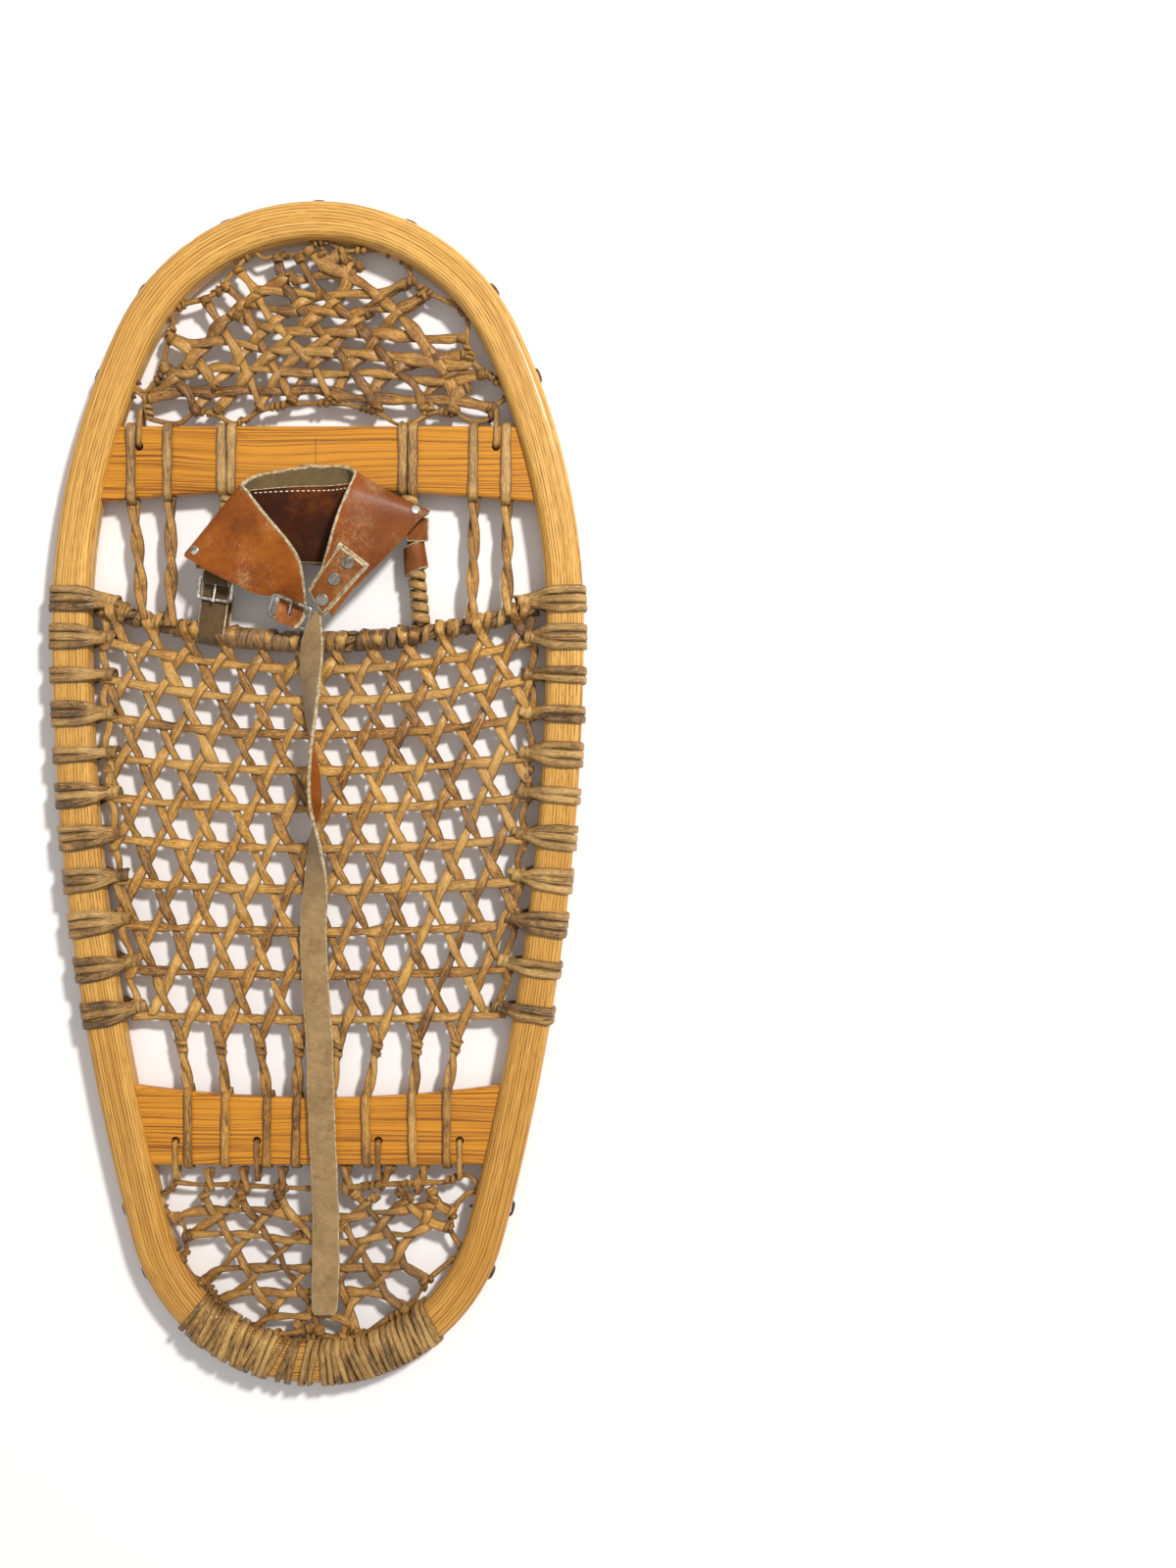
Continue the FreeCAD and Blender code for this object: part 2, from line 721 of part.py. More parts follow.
def place_heel(u, v):
    x = u * d.heel_cell
    base = bow_y(x, heel_upper_middle, heel_upper_edge)
    return vector(x, base - d.selvage_width - d.heel_row_pitch * (v - 0.35))


def inside_heel(point, across):
    lowest = min(bow_y(abs(point.x) + side * across, heel_upper_middle, heel_upper_edge) for side in (-1, 1))
    limit = half_x(point.y, heel_end_inset) - across
    lowest -= tie_room(point.x, across, heel_tie_holes)
    return abs(point.x) < limit and point.y < lowest - d.selvage_width - d.thong_gap


heel_net = Net(place_heel, inside_heel, d.heel_row_count + 0.9, d.end_thong_width, d.end_thong_thickness,
               (0.15, 0.2))


def make_selvage(label, middle_y, edge_y, outer_inset):
    """Closed thong along the inside of the rail and across the mouth of an end net."""
    half = d.selvage_thickness / 2
    shift = math.copysign(d.selvage_width, middle_y)
    outer = oval_prism(outer_inset, -half, half).common(beyond_bow(middle_y, edge_y, -half, half))
    reach = half * 2
    inner = oval_prism(outer_inset + d.selvage_width, -reach, reach)
    inner = inner.common(beyond_bow(middle_y + shift, edge_y + shift, -reach, reach))
    return keep_shape(label, outer.cut(inner))


def make_nets():
    for side, lean in (("left", -1), ("right", 1)):
        keep_shape(f"body_net_{side}_diagonals", body_net.diagonals(lean))
        keep_shape(f"toe_net_{side}_diagonals", toe_net.diagonals(lean))
        keep_shape(f"heel_net_{side}_diagonals", heel_net.diagonals(lean))
    keep_shape("body_net_rows", body_net.rows(range(1, int(d.body_row_count) + 1), rail_inset))
    keep_shape("toe_net_rows", toe_net.rows(range(1, int(d.toe_row_count) + 1), toe_end_inset))
    keep_shape("heel_net_rows", heel_net.rows(range(1, int(d.heel_row_count) + 1), heel_end_inset))
    make_selvage("toe_selvage", toe_lower_middle, toe_lower_edge, toe_selvage_inset)
    make_selvage("heel_selvage", heel_upper_middle, heel_upper_edge, heel_selvage_inset)


def make_edge_thongs():
    """Thongs along the inside of both rails that tie the ends of the body net's diagonals down."""
    low = 1.5 * (d.net_thong_thickness + d.thong_gap)
    near = d.rail_width + d.edge_thong_inset
    band = oval_prism(near, low, low + d.net_thong_thickness)
    band = band.cut(oval_prism(near + d.net_thong_width, 0, 2 * d.rail_thickness))
    front = body_edge_y(0) - cord_radius - d.serving_thickness - d.wrap_width
    rear = body_edge_y(d.body_row_count + 0.3)
    strips = []
    for x in (-half_width, 0):
        window = Part.makeBox(half_width, front - rear, d.rail_thickness, vector(x, rear))
        strips.append(band.common(window))
    return keep_shape("net_edge_thongs", Part.makeCompound(strips))


# Cords of the toe hole, their serving and the thongs that join them to the bars

def make_toe_cord():
    reach = net_edge_x - stand - cord_radius / 2
    sweep = 2 * math.degrees(math.asin(reach / cord_bow_radius()))
    cord = doc.addObject("Part::Torus", "toe_cord")
    cord.Radius1 = cord_bow_radius()
    cord.setExpression("Radius2", "Sizes.cord_diameter / 2")
    cord.Angle3 = sweep
    cord.Placement = at_net_plane(0, d.cord_middle + cord_bow_radius(), 0, -90 - sweep / 2)
    return keep(cord, "toe_cord")


SERVING_ALONG_CORD = (-8, 9)


def tube(inner_radius, outer_radius, length):
    """Short tube along X, centred on the origin."""
    start, axis = vector(-length / 2, 0), vector(1, 0)
    return Part.makeCylinder(outer_radius, length, start, axis).cut(
        Part.makeCylinder(inner_radius, length, start, axis))


def make_toe_cord_serving():
    """Close turns of thong round the middle of the toe cord."""
    inner = cord_radius + d.thong_gap * 2
    turns = []
    for k in range(SERVING_ALONG_CORD[0], SERVING_ALONG_CORD[1]):
        angle = math.degrees((k + 0.5) * d.serving_pitch * 1.15 / cord_bow_radius())
        x = cord_bow_radius() * math.sin(math.radians(angle))
        turn = tube(inner, inner + d.serving_thickness, d.serving_width)
        placement = FreeCAD.Placement(vector(x, cord_y(x)), FreeCAD.Rotation(UP, angle))
        turns.append(turn.transformed(placement.toMatrix()))
    return keep_shape("toe_cord_serving", Part.makeCompound(turns))


def side_cord_line(side):
    """Start at the toe bar's loop and end at the toe cord."""
    bar_rear = d.toe_bar_front - d.toe_bar_waist - (d.toe_bar_shoulder - d.toe_bar_waist) * 0.3
    top = vector(side * d.side_cord_top, bar_rear - stand - d.thong_gap - 1.0)
    foot = vector(side * d.side_cord_foot, 0)
    foot.y = cord_y(foot.x) + cord_radius + side_cord_radius * 0.25
    return top, foot


def make_side_cord(side, label):
    top, foot = side_cord_line(side)
    run = foot - top
    cord = doc.addObject("Part::Cylinder", label)
    cord.setExpression("Radius", "Sizes.side_cord_diameter / 2")
    cord.Height = run.Length
    cord.Placement = FreeCAD.Placement(top + UP * net_plane, FreeCAD.Rotation(UP, run))
    return keep(cord, label)


# Turns of serving on each side cord: distance behind the toe bar's loop and number of turns
LEFT_SERVING = ((4.0, 3),)
RIGHT_SERVING = ((4.0, 2), (55.0, 4))


def make_side_cord_servings():
    turns = []
    inner = side_cord_radius + d.thong_gap
    for side, groups in ((-1, LEFT_SERVING), (1, RIGHT_SERVING)):
        top, foot = side_cord_line(side)
        run = foot - top
        run.normalize()
        rotation = FreeCAD.Rotation(vector(1, 0), run)
        for start, count in groups:
            for k in range(count):
                place = FreeCAD.Placement(top + run * (start + k * d.serving_pitch), rotation)
                turn = tube(inner, inner + d.serving_thickness, d.serving_width)
                turns.append(turn.transformed(place.toMatrix()))
    return keep_shape("side_cord_servings", Part.makeCompound(turns))


# Middle x of each band of thong looped round a bar: side cords first, then the fore thongs
TOE_BAR_LOOPS = (-59.3, -53.0, 53.0, 59.3, -115.5, -92.6, 96.8, 117.0)
FORE_THONG_FEET = (-108.0, -90.7, 95.6, 117.5)
HEEL_BAR_LOOPS = (-80.0, -57.2, -31.7, -13.4, 8.0, 30.5, 59.1, 80.0)


def bar_band(x, outer_y, depth, inward):
    """Ring of thong round a crossbar, in the YZ plane."""
    band = band_around(depth, d.bar_thickness, d.bar_round, d.wrap_thickness, d.wrap_gap, d.wrap_width)
    turned = band.rotated(vector(0, 0), UP, 90)
    return turned.translated(vector(x, outer_y + inward * depth / 2))


def bar_depth_at(x, outer_y, waist, shoulder):
    """Depth of a crossbar in plan at x, deepest over the band's own width."""
    end = half_x(outer_y, d.rail_width)
    edge = (abs(x) + d.wrap_width / 2) / end
    return waist + (shoulder - waist) * min(1.0, edge) ** 2


def make_bar_loops():
    toe = [bar_band(x, d.toe_bar_front, bar_depth_at(x, d.toe_bar_front, d.toe_bar_waist,
                                                     d.toe_bar_shoulder), -1) for x in TOE_BAR_LOOPS]
    keep_shape("toe_bar_loops", Part.makeCompound(toe))
    heel = [bar_band(x, d.heel_bar_rear, bar_depth_at(x, d.heel_bar_rear, d.heel_bar_waist,
                                                      d.heel_bar_shoulder), 1) for x in HEEL_BAR_LOOPS]
    keep_shape("heel_bar_loops", Part.makeCompound(heel))


def straight_thong(start, end):
    return ribbon([start, end], vector(d.net_thong_width / 2, 0), d.net_thong_thickness * 2)


def make_joining_thongs():
    """Fore thongs from the toe bar to the toe cord, aft thongs from the net to the heel bar."""
    fore = []
    for x, foot_x in zip(TOE_BAR_LOOPS[4:], FORE_THONG_FEET):
        top_y = d.toe_bar_front - bar_depth_at(x, d.toe_bar_front, d.toe_bar_waist, d.toe_bar_shoulder)
        foot_y = max(cord_y(foot_x - d.net_thong_width), cord_y(foot_x + d.net_thong_width)) + cord_radius
        fore.append(straight_thong(vector(x, top_y - stand - d.thong_gap),
                                   vector(foot_x, foot_y + d.thong_gap)))
    keep_shape("fore_thongs", Part.makeCompound(fore))
    aft = []
    for k, x in enumerate(HEEL_BAR_LOOPS):
        depth = bar_depth_at(x, d.heel_bar_rear, d.heel_bar_waist, d.heel_bar_shoulder)
        start = place_body(k - (len(HEEL_BAR_LOOPS) - 1) / 2, body_last)
        aft.append(straight_thong(start - vector(0, d.thong_gap),
                                  vector(x, d.heel_bar_rear + depth + stand + d.thong_gap)))
    keep_shape("aft_thongs", Part.makeCompound(aft))


def tie_loop(x, hole_y, outer_y, middle_y, edge_y):
    """Upright loop of thong through a bar's hole and round the selvage."""
    outward = math.copysign(1.0, outer_y)
    selvage_far = max(outward * bow_y(abs(x) + side * d.end_thong_width, middle_y, edge_y)
                      for side in (-1, 1))
    far = selvage_far + d.selvage_width + d.thong_gap
    near = outward * hole_y + d.end_thong_thickness / 2
    top = d.bar_thickness / 2 + d.wrap_gap
    width, height = far - near, 2 * top
    ring = band_around(width, height, d.thong_gap, d.end_thong_thickness, 0.0, d.end_thong_width)
    return ring.rotated(vector(0, 0), UP, 90).translated(vector(x, outward * (near + far) / 2))


def make_bar_ties():
    toe = [tie_loop(x, y, d.toe_bar_front, toe_lower_middle, toe_lower_edge) for x, y in toe_tie_holes]
    keep_shape("toe_bar_ties", Part.makeCompound(toe))
    heel = [tie_loop(x, y, d.heel_bar_rear, heel_upper_middle, heel_upper_edge) for x, y in heel_tie_holes]
    keep_shape("heel_bar_ties", Part.makeCompound(heel))


# Binding: points are x, distance ahead of the hinge line and height above the crossbars' top

COLLAR_INNER_EDGE = (
    (-12.3, -31.4, 9.9), (-7.7, -25.5, 9.5), (-6.5, -14.5, 9.3), (-8, 6, 17.1), (-14, 19, 22.1),
    (-29, 37, 23.1), (-39, 50, 19.1), (-44, 56, 12.1), (-38, 62, 5.6), (-26, 65, 3.6), (-8, 68, 3.4),
    (8, 68.5, 3.7), (18, 68, 5.6), (25, 64, 12.1), (25, 58, 18.1), (22, 50, 22.1), (16, 34, 24.1),
    (10, 15, 22.1), (5, 1, 17.0), (1.5, -7, 12.0),
)
COLLAR_OUTER_EDGE = (
    (-24.3, -26.6, 9.9), (-23.5, -19.1, 9.5), (-22.5, -12.0, 9.3), (-36, -10, 10.1), (-49, -4, 13.6),
    (-64, 3, 13.6), (-75, 10, 10.6), (-80, 13, 6.4), (-75, 17, 3.6), (-45, 15, 3.4), (-16, 9, 3.2),
    (14, 9, 3.2), (42, 19, 3.4), (64, 36, 4.1), (70, 40, 7.3), (65, 36, 10.6), (54, 23, 12.1),
    (41, 9, 13.6), (24, -8, 13.0), (10.5, -24, 9.8),
)
LINING_STATIONS = (9, 12)
TAB_STATIONS = (17, 20)


def binding_point(point):
    x, ahead, above = point
    return vector(x, hinge_y + ahead, deck + above)


def collar_edges():
    return ([binding_point(p) for p in COLLAR_INNER_EDGE], [binding_point(p) for p in COLLAR_OUTER_EDGE])


def collar_patch(stations, near, far, lift):
    """Edges of a strip over part of the collar: between two shares of its width, lifted off it."""
    inner, outer = collar_edges()
    left, right = [], []
    for k in range(*stations):
        before, after = max(k - 1, 0), min(k + 1, len(inner) - 1)
        along = (inner[after] + outer[after]) - (inner[before] + outer[before])
        normal = (outer[k] - inner[k]).cross(along)
        normal.normalize()
        span = outer[k] - inner[k]
        left.append(inner[k] + span * near + normal * lift)
        right.append(inner[k] + span * far + normal * lift)
    return left, right


def patch_frame(stations, along_share, across_share, lift):
    """Placement on the collar with z along its outward normal."""
    inner, outer = collar_patch(stations, 0.0, 1.0, lift)
    k = min(int(along_share), len(inner) - 2)
    share = along_share - k
    a, b = inner[k] * (1 - share) + inner[k + 1] * share, outer[k] * (1 - share) + outer[k + 1] * share
    point = a + (b - a) * across_share
    normal = (b - a).cross((inner[k + 1] + outer[k + 1]) - (inner[k] + outer[k]))
    return FreeCAD.Placement(point, FreeCAD.Rotation(UP, normal))


def rivet(frame, head, below):
    """Domed head on the leather and a shank through it, headed again underneath."""
    dome = Part.makeCone(head / 2, head / 3, d.rivet_head_height, vector(0, 0, d.thong_gap))
    shank = Part.makeCylinder(d.rivet_shank / 2, below + d.thong_gap, vector(0, 0, -below))
    back = Part.makeCylinder(head / 3, d.rivet_head_height / 2,
                             vector(0, 0, -below - d.rivet_head_height / 2))
    return dome.fuse([shank, back]).transformed(frame.toMatrix())


def rivet_seat(frame, head, below):
    """Hole for a rivet, wide enough above and below the leather for its heads."""
    reach = d.rivet_head
    gap = d.thong_gap
    hole = Part.makeCylinder(d.rivet_shank / 2 + gap, below + 2 * reach, vector(0, 0, -below - reach))
    upper = Part.makeCylinder(head / 2 + gap, reach)
    lower = Part.makeCylinder(head / 3 + gap, reach, vector(0, 0, -below - reach))
    return hole.fuse([upper, lower]).transformed(frame.toMatrix())


TAB_RIVETS = ((0.35, 0.5), (1.05, 0.5), (1.75, 0.5))
LEFT_CORNER_RIVET = (6, 0.9)
RIGHT_CORNER_RIVET = (14, 0.86)
tab_gap = 1.7


def make_binding_leather():
    inner, outer = collar_edges()
    half = d.leather / 2
    tab_top = half + tab_gap + d.leather
    tab_frames = [patch_frame(TAB_STATIONS, a, b, -tab_top) for a, b in TAB_RIVETS]
    corner_frames = [patch_frame((k, k + 2), 0.0, share, -half)
                     for k, share in (LEFT_CORNER_RIVET, RIGHT_CORNER_RIVET)]
    for frame in tab_frames + corner_frames:
        frame.Rotation = frame.Rotation.multiply(FreeCAD.Rotation(vector(1, 0), 180))
    tab_seats = [rivet_seat(frame, d.rivet_head, tab_top + half) for frame in tab_frames]
    corner_seats = [rivet_seat(frame, d.small_rivet_head, d.leather) for frame in corner_frames]
    slot = prong_slot(front_buckle_frame(), d.prong_slot, 14.0)
    keep_shape("toe_collar", leather_strip(inner, outer, d.leather).cut(tab_seats + corner_seats + [slot]))
    tab = leather_strip(*collar_patch(TAB_STATIONS, 0.08, 0.86, d.leather / 2 - tab_top), d.leather)
    keep_shape("collar_tab", tab.cut(tab_seats))
    lining_lift = -(half + d.anchor_gap + d.lining / 2)
    lining = collar_patch(LINING_STATIONS, 0.36, 0.97, lining_lift)
    keep_shape("collar_lining", leather_strip(*lining, d.lining))
    keep_shape("tab_rivets", Part.makeCompound(
        [rivet(f, d.rivet_head, tab_top + half) for f in tab_frames]))
    keep_shape("corner_rivets", Part.makeCompound(
        [rivet(f, d.small_rivet_head, d.leather) for f in corner_frames]))


# Long strap: x, y, height above the net plane, width share and roll about its length
STRAP_COURSE = (
    (3.0, 104.5, 15.3, 0.42, 8), (1.8, 99.5, 14.6, 0.50, 12), (-0.5, 93.0, 12.0, 0.60, 20),
    (-2.6, 84.0, 9.8, 0.80, 28), (-3.3, 72.0, 8.6, 1.0, 35), (-3.0, 46.0, 10.6, 1.0, 62),
    (-1.5, 20.0, 11.8, 1.0, 95), (-0.5, -7.0, 11.8, 1.0, 104), (-0.8, -30.0, 10.6, 1.0, 62),
    (-0.6, -56.0, 7.2, 1.0, 25), (-2.7, -82.0, 4.0, 1.0, 0), (-1.5, -119.0, 3.8, 1.0, 0),
    (0.9, -152.0, 4.2, 1.0, 0), (2.4, -181.0, 8.0, 1.0, 0), (3.6, -212.0, 8.2, 1.0, 0),
    (4.6, -238.0, 7.9, 1.0, 0), (5.0, -262.0, 4.6, 1.0, 0), (5.0, -290.0, 4.0, 1.0, 0),
    (4.3, -324.0, 4.0, 1.0, 0),
)
STRAP_STEPS = 4


def smooth_line(points, count):
    """The points of a smooth curve through the given ones, the same number between each two."""
    ends = [points[0] * 2 - points[1]] + points + [points[-1] * 2 - points[-2]]
    line = []
    for k in range(len(points) - 1):
        before, a, b, after = ends[k:k + 4]
        for j in range(count):
            t = j / count
            line.append((a * 2 + (b - before) * t + (before * 2 - a * 5 + b * 4 - after) * t ** 2
                         + (a * 3 - before - b * 3 + after) * t ** 3) * 0.5)
    return line + [points[-1]]


def make_closing_strap():
    left, right = [], []
    for x, y, z, share, roll in STRAP_COURSE:
        angle = math.radians(roll)
        half = vector(math.cos(angle), 0, math.sin(angle)) * (d.strap_width * share / 2)
        left.append(vector(x, y, z) - half)
        right.append(vector(x, y, z) + half)
    sides = [smooth_line(side, STRAP_STEPS) for side in (left, right)]
    return keep_shape("closing_strap", leather_strip(*sides, d.anchor_leather))


# Anchors: the left strap is looped round the toe cord and buckled, the right one round the side cord

def anchor_place():
    """Frame of the left anchor strap: y ahead along the strap from the toe cord's middle."""
    x = d.anchor_strap_x
    return FreeCAD.Placement(vector(x, cord_y(x)), FreeCAD.Rotation(UP, d.anchor_turn))


def make_left_anchor():
    """Strap folded round the toe cord, its upper run curled into an eye for the buckle's bar."""
    inner = cord_radius + d.anchor_gap
    outer = inner + d.anchor_leather
    width, length, tail = d.anchor_strap_width, d.anchor_strap_length, d.anchor_tail
    profile = Part.Wire([
        Part.makeLine(vector(0, 0, outer), vector(0, length, outer)),
        Part.makeLine(vector(0, length, outer), vector(0, length, inner)),
        Part.makeLine(vector(0, length, inner), vector(0, 0, inner)),
        Part.Arc(vector(0, 0, inner), vector(0, -inner, 0), vector(0, 0, -inner)).toShape(),
        Part.makeLine(vector(0, 0, -inner), vector(0, tail, -inner)),
        Part.makeLine(vector(0, tail, -inner), vector(0, tail, -outer)),
        Part.makeLine(vector(0, tail, -outer), vector(0, 0, -outer)),
        Part.Arc(vector(0, 0, -outer), vector(0, -outer, 0), vector(0, 0, outer)).toShape(),
    ])
    strap = Part.Face(profile).extrude(vector(width, 0)).translated(vector(-width / 2, 0))
    bore = d.wire / 2 + d.anchor_gap
    eye = tube(bore, bore + d.anchor_leather, width).translated(vector(0, length, outer + bore))
    hollow = Part.makeCylinder(bore, width, vector(-width / 2, length, outer + bore), vector(1, 0))
    strap = strap.fuse(eye).cut(hollow).removeSplitter()
    strap = strap.cut(anchor_prong_slot())
    return keep_shape("left_anchor_strap", strap, raised(anchor_place()))


def anchor_prong_slot():
    """Gap in the middle of the eye, and in the strap under it, for the prong to swing."""
    reach = d.wire / 2 + 2 * d.anchor_gap + d.anchor_leather
    corner = vector(-d.prong_slot / 2, d.anchor_strap_length - reach, 0)
    return Part.makeBox(d.prong_slot, 2 * reach, d.rail_thickness, corner)


def make_right_anchor():
    top, foot = side_cord_line(1)
    run = foot - top
    run.normalize()
    start = top + run * ((top.y - d.right_loop_middle) / abs(run.y))
    loop = tube(side_cord_radius + d.anchor_gap, side_cord_radius + d.anchor_gap + d.anchor_leather,
                d.right_loop_length)
    place = FreeCAD.Placement(start, FreeCAD.Rotation(vector(1, 0), run))
    return keep_shape("right_anchor_loop", loop, raised(place))


# Leather plates under the collar's corners: low x, width, start ahead of the hinge and length
LEFT_LINK = (-75.0, 17.0, 4.2, 15.8)
RIGHT_LINK = (55.0, 14.0, 23.0, 15.5)
link_thickness = 1.5


def make_links():
    for label, (x, width, ahead, length) in (("left_anchor_link", LEFT_LINK),
                                             ("right_anchor_strap", RIGHT_LINK)):
        low = deck + d.anchor_gap
        plate = Part.makeBox(width, length, link_thickness, vector(x, hinge_y + ahead, low))
        keep_shape(label, plate)


# Buckles

def buckle_frame_sketch(width, length):
    """Outer and inner rounded rectangles; the pivot bar's middle line lies on the X axis."""
    geometry = []
    for inset, radius in ((0.0, 2.6), (d.wire, 0.8)):
        w = width / 2 - inset
        low, high = -d.wire / 2 + inset, length - d.wire / 2 - inset
        corners = [(w, low), (w, high), (-w, high), (-w, low)]
        spots = []
        for k, (x, y) in enumerate(corners):
            before, after = corners[k - 1], corners[(k + 1) % 4]
            for other in (before, after):
                dx, dy = other[0] - x, other[1] - y
                scale = radius / math.hypot(dx, dy)
                spots.append(vector(x + dx * scale, y + dy * scale))
        for k, (x, y) in enumerate(corners):
            a, b = spots[2 * k], spots[2 * k + 1]
            chord = (a + b) * 0.5
            corner = vector(x, y)
            bulge = chord + (corner - chord) * (2 - math.sqrt(2)) * 0.70710678
            geometry.append(Part.Arc(a, bulge, b))
            geometry.append(Part.LineSegment(b, spots[(2 * k + 2) % 8]))
    return geometry


def front_buckle_frame():
    """Placement of the front buckle: x along its pivot bar, y to the far bar, tilted up."""
    point = vector(-17.5, hinge_y - 26.9, deck + 7.0)
    return FreeCAD.Placement(point, FreeCAD.Rotation(UP, -22).multiply(FreeCAD.Rotation(vector(1, 0), 28)))


def anchor_buckle_frame():
    """Placement of the anchor buckle in the strap's eye, pointing back along the strap."""
    height = cord_radius + 2 * d.anchor_gap + d.anchor_leather + d.wire / 2
    local = FreeCAD.Placement(vector(0, d.anchor_strap_length, height), FreeCAD.Rotation(UP, 180))
    return anchor_place().multiply(local)


def raised(placement):
    return FreeCAD.Placement(UP * net_plane, FreeCAD.Rotation()).multiply(placement)


def prong_slot(frame, width, length):
    slot = Part.makeBox(width, length, 40, vector(-width / 2, -length * 0.35, -20))
    return slot.transformed(frame.toMatrix())


def make_buckle(label, width_name, length_name, placement):
    body = new_body(label)
    width, length = getattr(d, width_name), getattr(d, length_name)
    plan = sketch_on(body, label + "_plan", buckle_frame_sketch(width, length))
    plan.setExpression("AttachmentOffset.Base.z", "-Sizes.wire / 2")
    pad = pad_on(body, label + "_pad", plan, "Sizes.wire")
    fillet_on(body, label + "_round", pad, edges_where(pad.Shape, is_flat_edge), "Sizes.wire_round")
    body.Placement = raised(placement)
    return keep(body, label)


def make_prong(label, length_name, placement):
    """Wire prong: an eye round the pivot bar and a pin that rests on the far bar."""
    length = getattr(d, length_name)
    inner = d.wire / 2 + d.prong_eye_gap
    outer = inner + d.prong_eye_wall
    eye = tube(inner, outer, d.prong_eye_width)
    rest_height = d.wire / 2 + d.prong_diameter / 2 + d.thong_gap * 4
    start = vector(0, inner + d.prong_eye_wall / 2, 0.6)
    end = vector(0, length - d.wire / 2 + 0.8, rest_height)
    pin = Part.makeCylinder(d.prong_diameter / 2, (end - start).Length, start, end - start)
    shape = eye.fuse(pin).removeSplitter()
    return keep_shape(label, shape, raised(placement))


# Everything is made here, frame first

make_hoop()
make_crossbar("toe_crossbar", d.toe_bar_front, d.toe_bar_waist, d.toe_bar_shoulder, -1, toe_tie_holes)
make_crossbar("heel_crossbar", d.heel_bar_rear, d.heel_bar_waist, d.heel_bar_shoulder, 1, heel_tie_holes)
make_rail_wraps("left_rail_wraps", -1, LEFT_TURNS)
make_rail_wraps("right_rail_wraps", 1, RIGHT_TURNS)
make_heel_lashing()
make_rail_stitches()
make_nets()
make_edge_thongs()
make_toe_cord()
make_toe_cord_serving()
make_side_cord(-1, "left_side_cord")
make_side_cord(1, "right_side_cord")
make_side_cord_servings()
make_bar_loops()
make_joining_thongs()
make_bar_ties()
make_left_anchor()
make_right_anchor()
make_binding_leather()
make_links()
make_closing_strap()
make_buckle("front_buckle_frame", "front_buckle_width", "front_buckle_length", front_buckle_frame())
make_prong("front_buckle_prong", "front_buckle_length", front_buckle_frame())
make_buckle("anchor_buckle_frame", "anchor_buckle_width", "anchor_buckle_length", anchor_buckle_frame())
make_prong("anchor_buckle_prong", "anchor_buckle_length", anchor_buckle_frame())

doc.recompute()
for item in doc.Objects:
    assert "Invalid" not in item.State and "Error" not in item.State, item.Name + " failed"
os.makedirs("parts", exist_ok=True)
for item in pieces:
    shape = item.Shape
    assert not shape.isNull() and shape.isValid(), item.Label + " has no valid shape"
    assert shape.Solids and all(solid.Volume > 0 for solid in shape.Solids), item.Label + " holds no solid"
    shape.exportStep(f"parts/{item.Label}.step")
print(len(pieces), "nodes,", sum(len(item.Shape.Solids) for item in pieces), "solids")
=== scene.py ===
import bpy
import bmesh
import math
import random
from mathutils import Matrix, Vector, noise


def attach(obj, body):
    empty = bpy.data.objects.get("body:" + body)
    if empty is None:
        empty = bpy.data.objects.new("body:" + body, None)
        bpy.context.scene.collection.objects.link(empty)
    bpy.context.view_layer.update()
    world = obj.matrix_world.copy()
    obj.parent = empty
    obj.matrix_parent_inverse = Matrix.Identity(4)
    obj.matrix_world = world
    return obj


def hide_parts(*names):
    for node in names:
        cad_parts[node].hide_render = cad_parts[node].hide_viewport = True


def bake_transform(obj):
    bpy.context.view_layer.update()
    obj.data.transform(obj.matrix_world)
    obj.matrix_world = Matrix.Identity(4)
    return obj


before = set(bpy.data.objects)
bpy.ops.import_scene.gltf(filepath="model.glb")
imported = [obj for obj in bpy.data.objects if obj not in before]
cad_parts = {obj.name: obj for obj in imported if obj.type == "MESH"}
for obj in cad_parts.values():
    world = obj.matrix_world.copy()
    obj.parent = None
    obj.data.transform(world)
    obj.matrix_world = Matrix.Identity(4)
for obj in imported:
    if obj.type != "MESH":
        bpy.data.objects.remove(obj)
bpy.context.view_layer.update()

dice = random.Random(7)

# Lengths in this file are in millimetres, measured from the net plane in the middle of the rail's
# thickness, and become metres when a mesh is made.
METRE = 0.001
NET_PLANE = 11.42
UP = Vector((0, 0, 1))


# The hoop: an oval of four tangent arcs a side, as centre x, centre y, radius and end headings

HALF_WIDTH, TOE_TIP = 165.0, 366.08
FRONT_LENGTH, TOE_TURN, HEEL_TURN = 262.0, 65.0, 75.0
WIDEST_Y = TOE_TIP - FRONT_LENGTH
RAIL_WIDTH, RAIL_THICKNESS = 23.5, 19.0
HALF_RAIL, HALF_THICK = RAIL_WIDTH / 2, RAIL_THICKNESS / 2


def solve_arcs():
    s, c = math.sin(math.radians(TOE_TURN)), math.cos(math.radians(TOE_TURN))
    det = s * c - (1 - s) * (1 - c)
    toe = (HALF_WIDTH * c - FRONT_LENGTH * (1 - s)) / det
    front = (FRONT_LENGTH * s - HALF_WIDTH * (1 - c)) / det
    s, c = math.sin(math.radians(HEEL_TURN)), math.cos(math.radians(HEEL_TURN))
    back = WIDEST_Y + TOE_TIP
    det = (1 - s) * (1 - c) - s * c
    rear = (HALF_WIDTH * (1 - c) - back * s) / det
    heel = (back * (1 - s) - HALF_WIDTH * c) / det
    return [(0.0, TOE_TIP - toe, toe, 90.0, 90.0 - TOE_TURN),
            (HALF_WIDTH - front, WIDEST_Y, front, 90.0 - TOE_TURN, 0.0),
            (HALF_WIDTH - rear, WIDEST_Y, rear, 0.0, HEEL_TURN - 90.0),
            (0.0, heel - TOE_TIP, heel, HEEL_TURN - 90.0, -90.0)]


ARCS = solve_arcs()


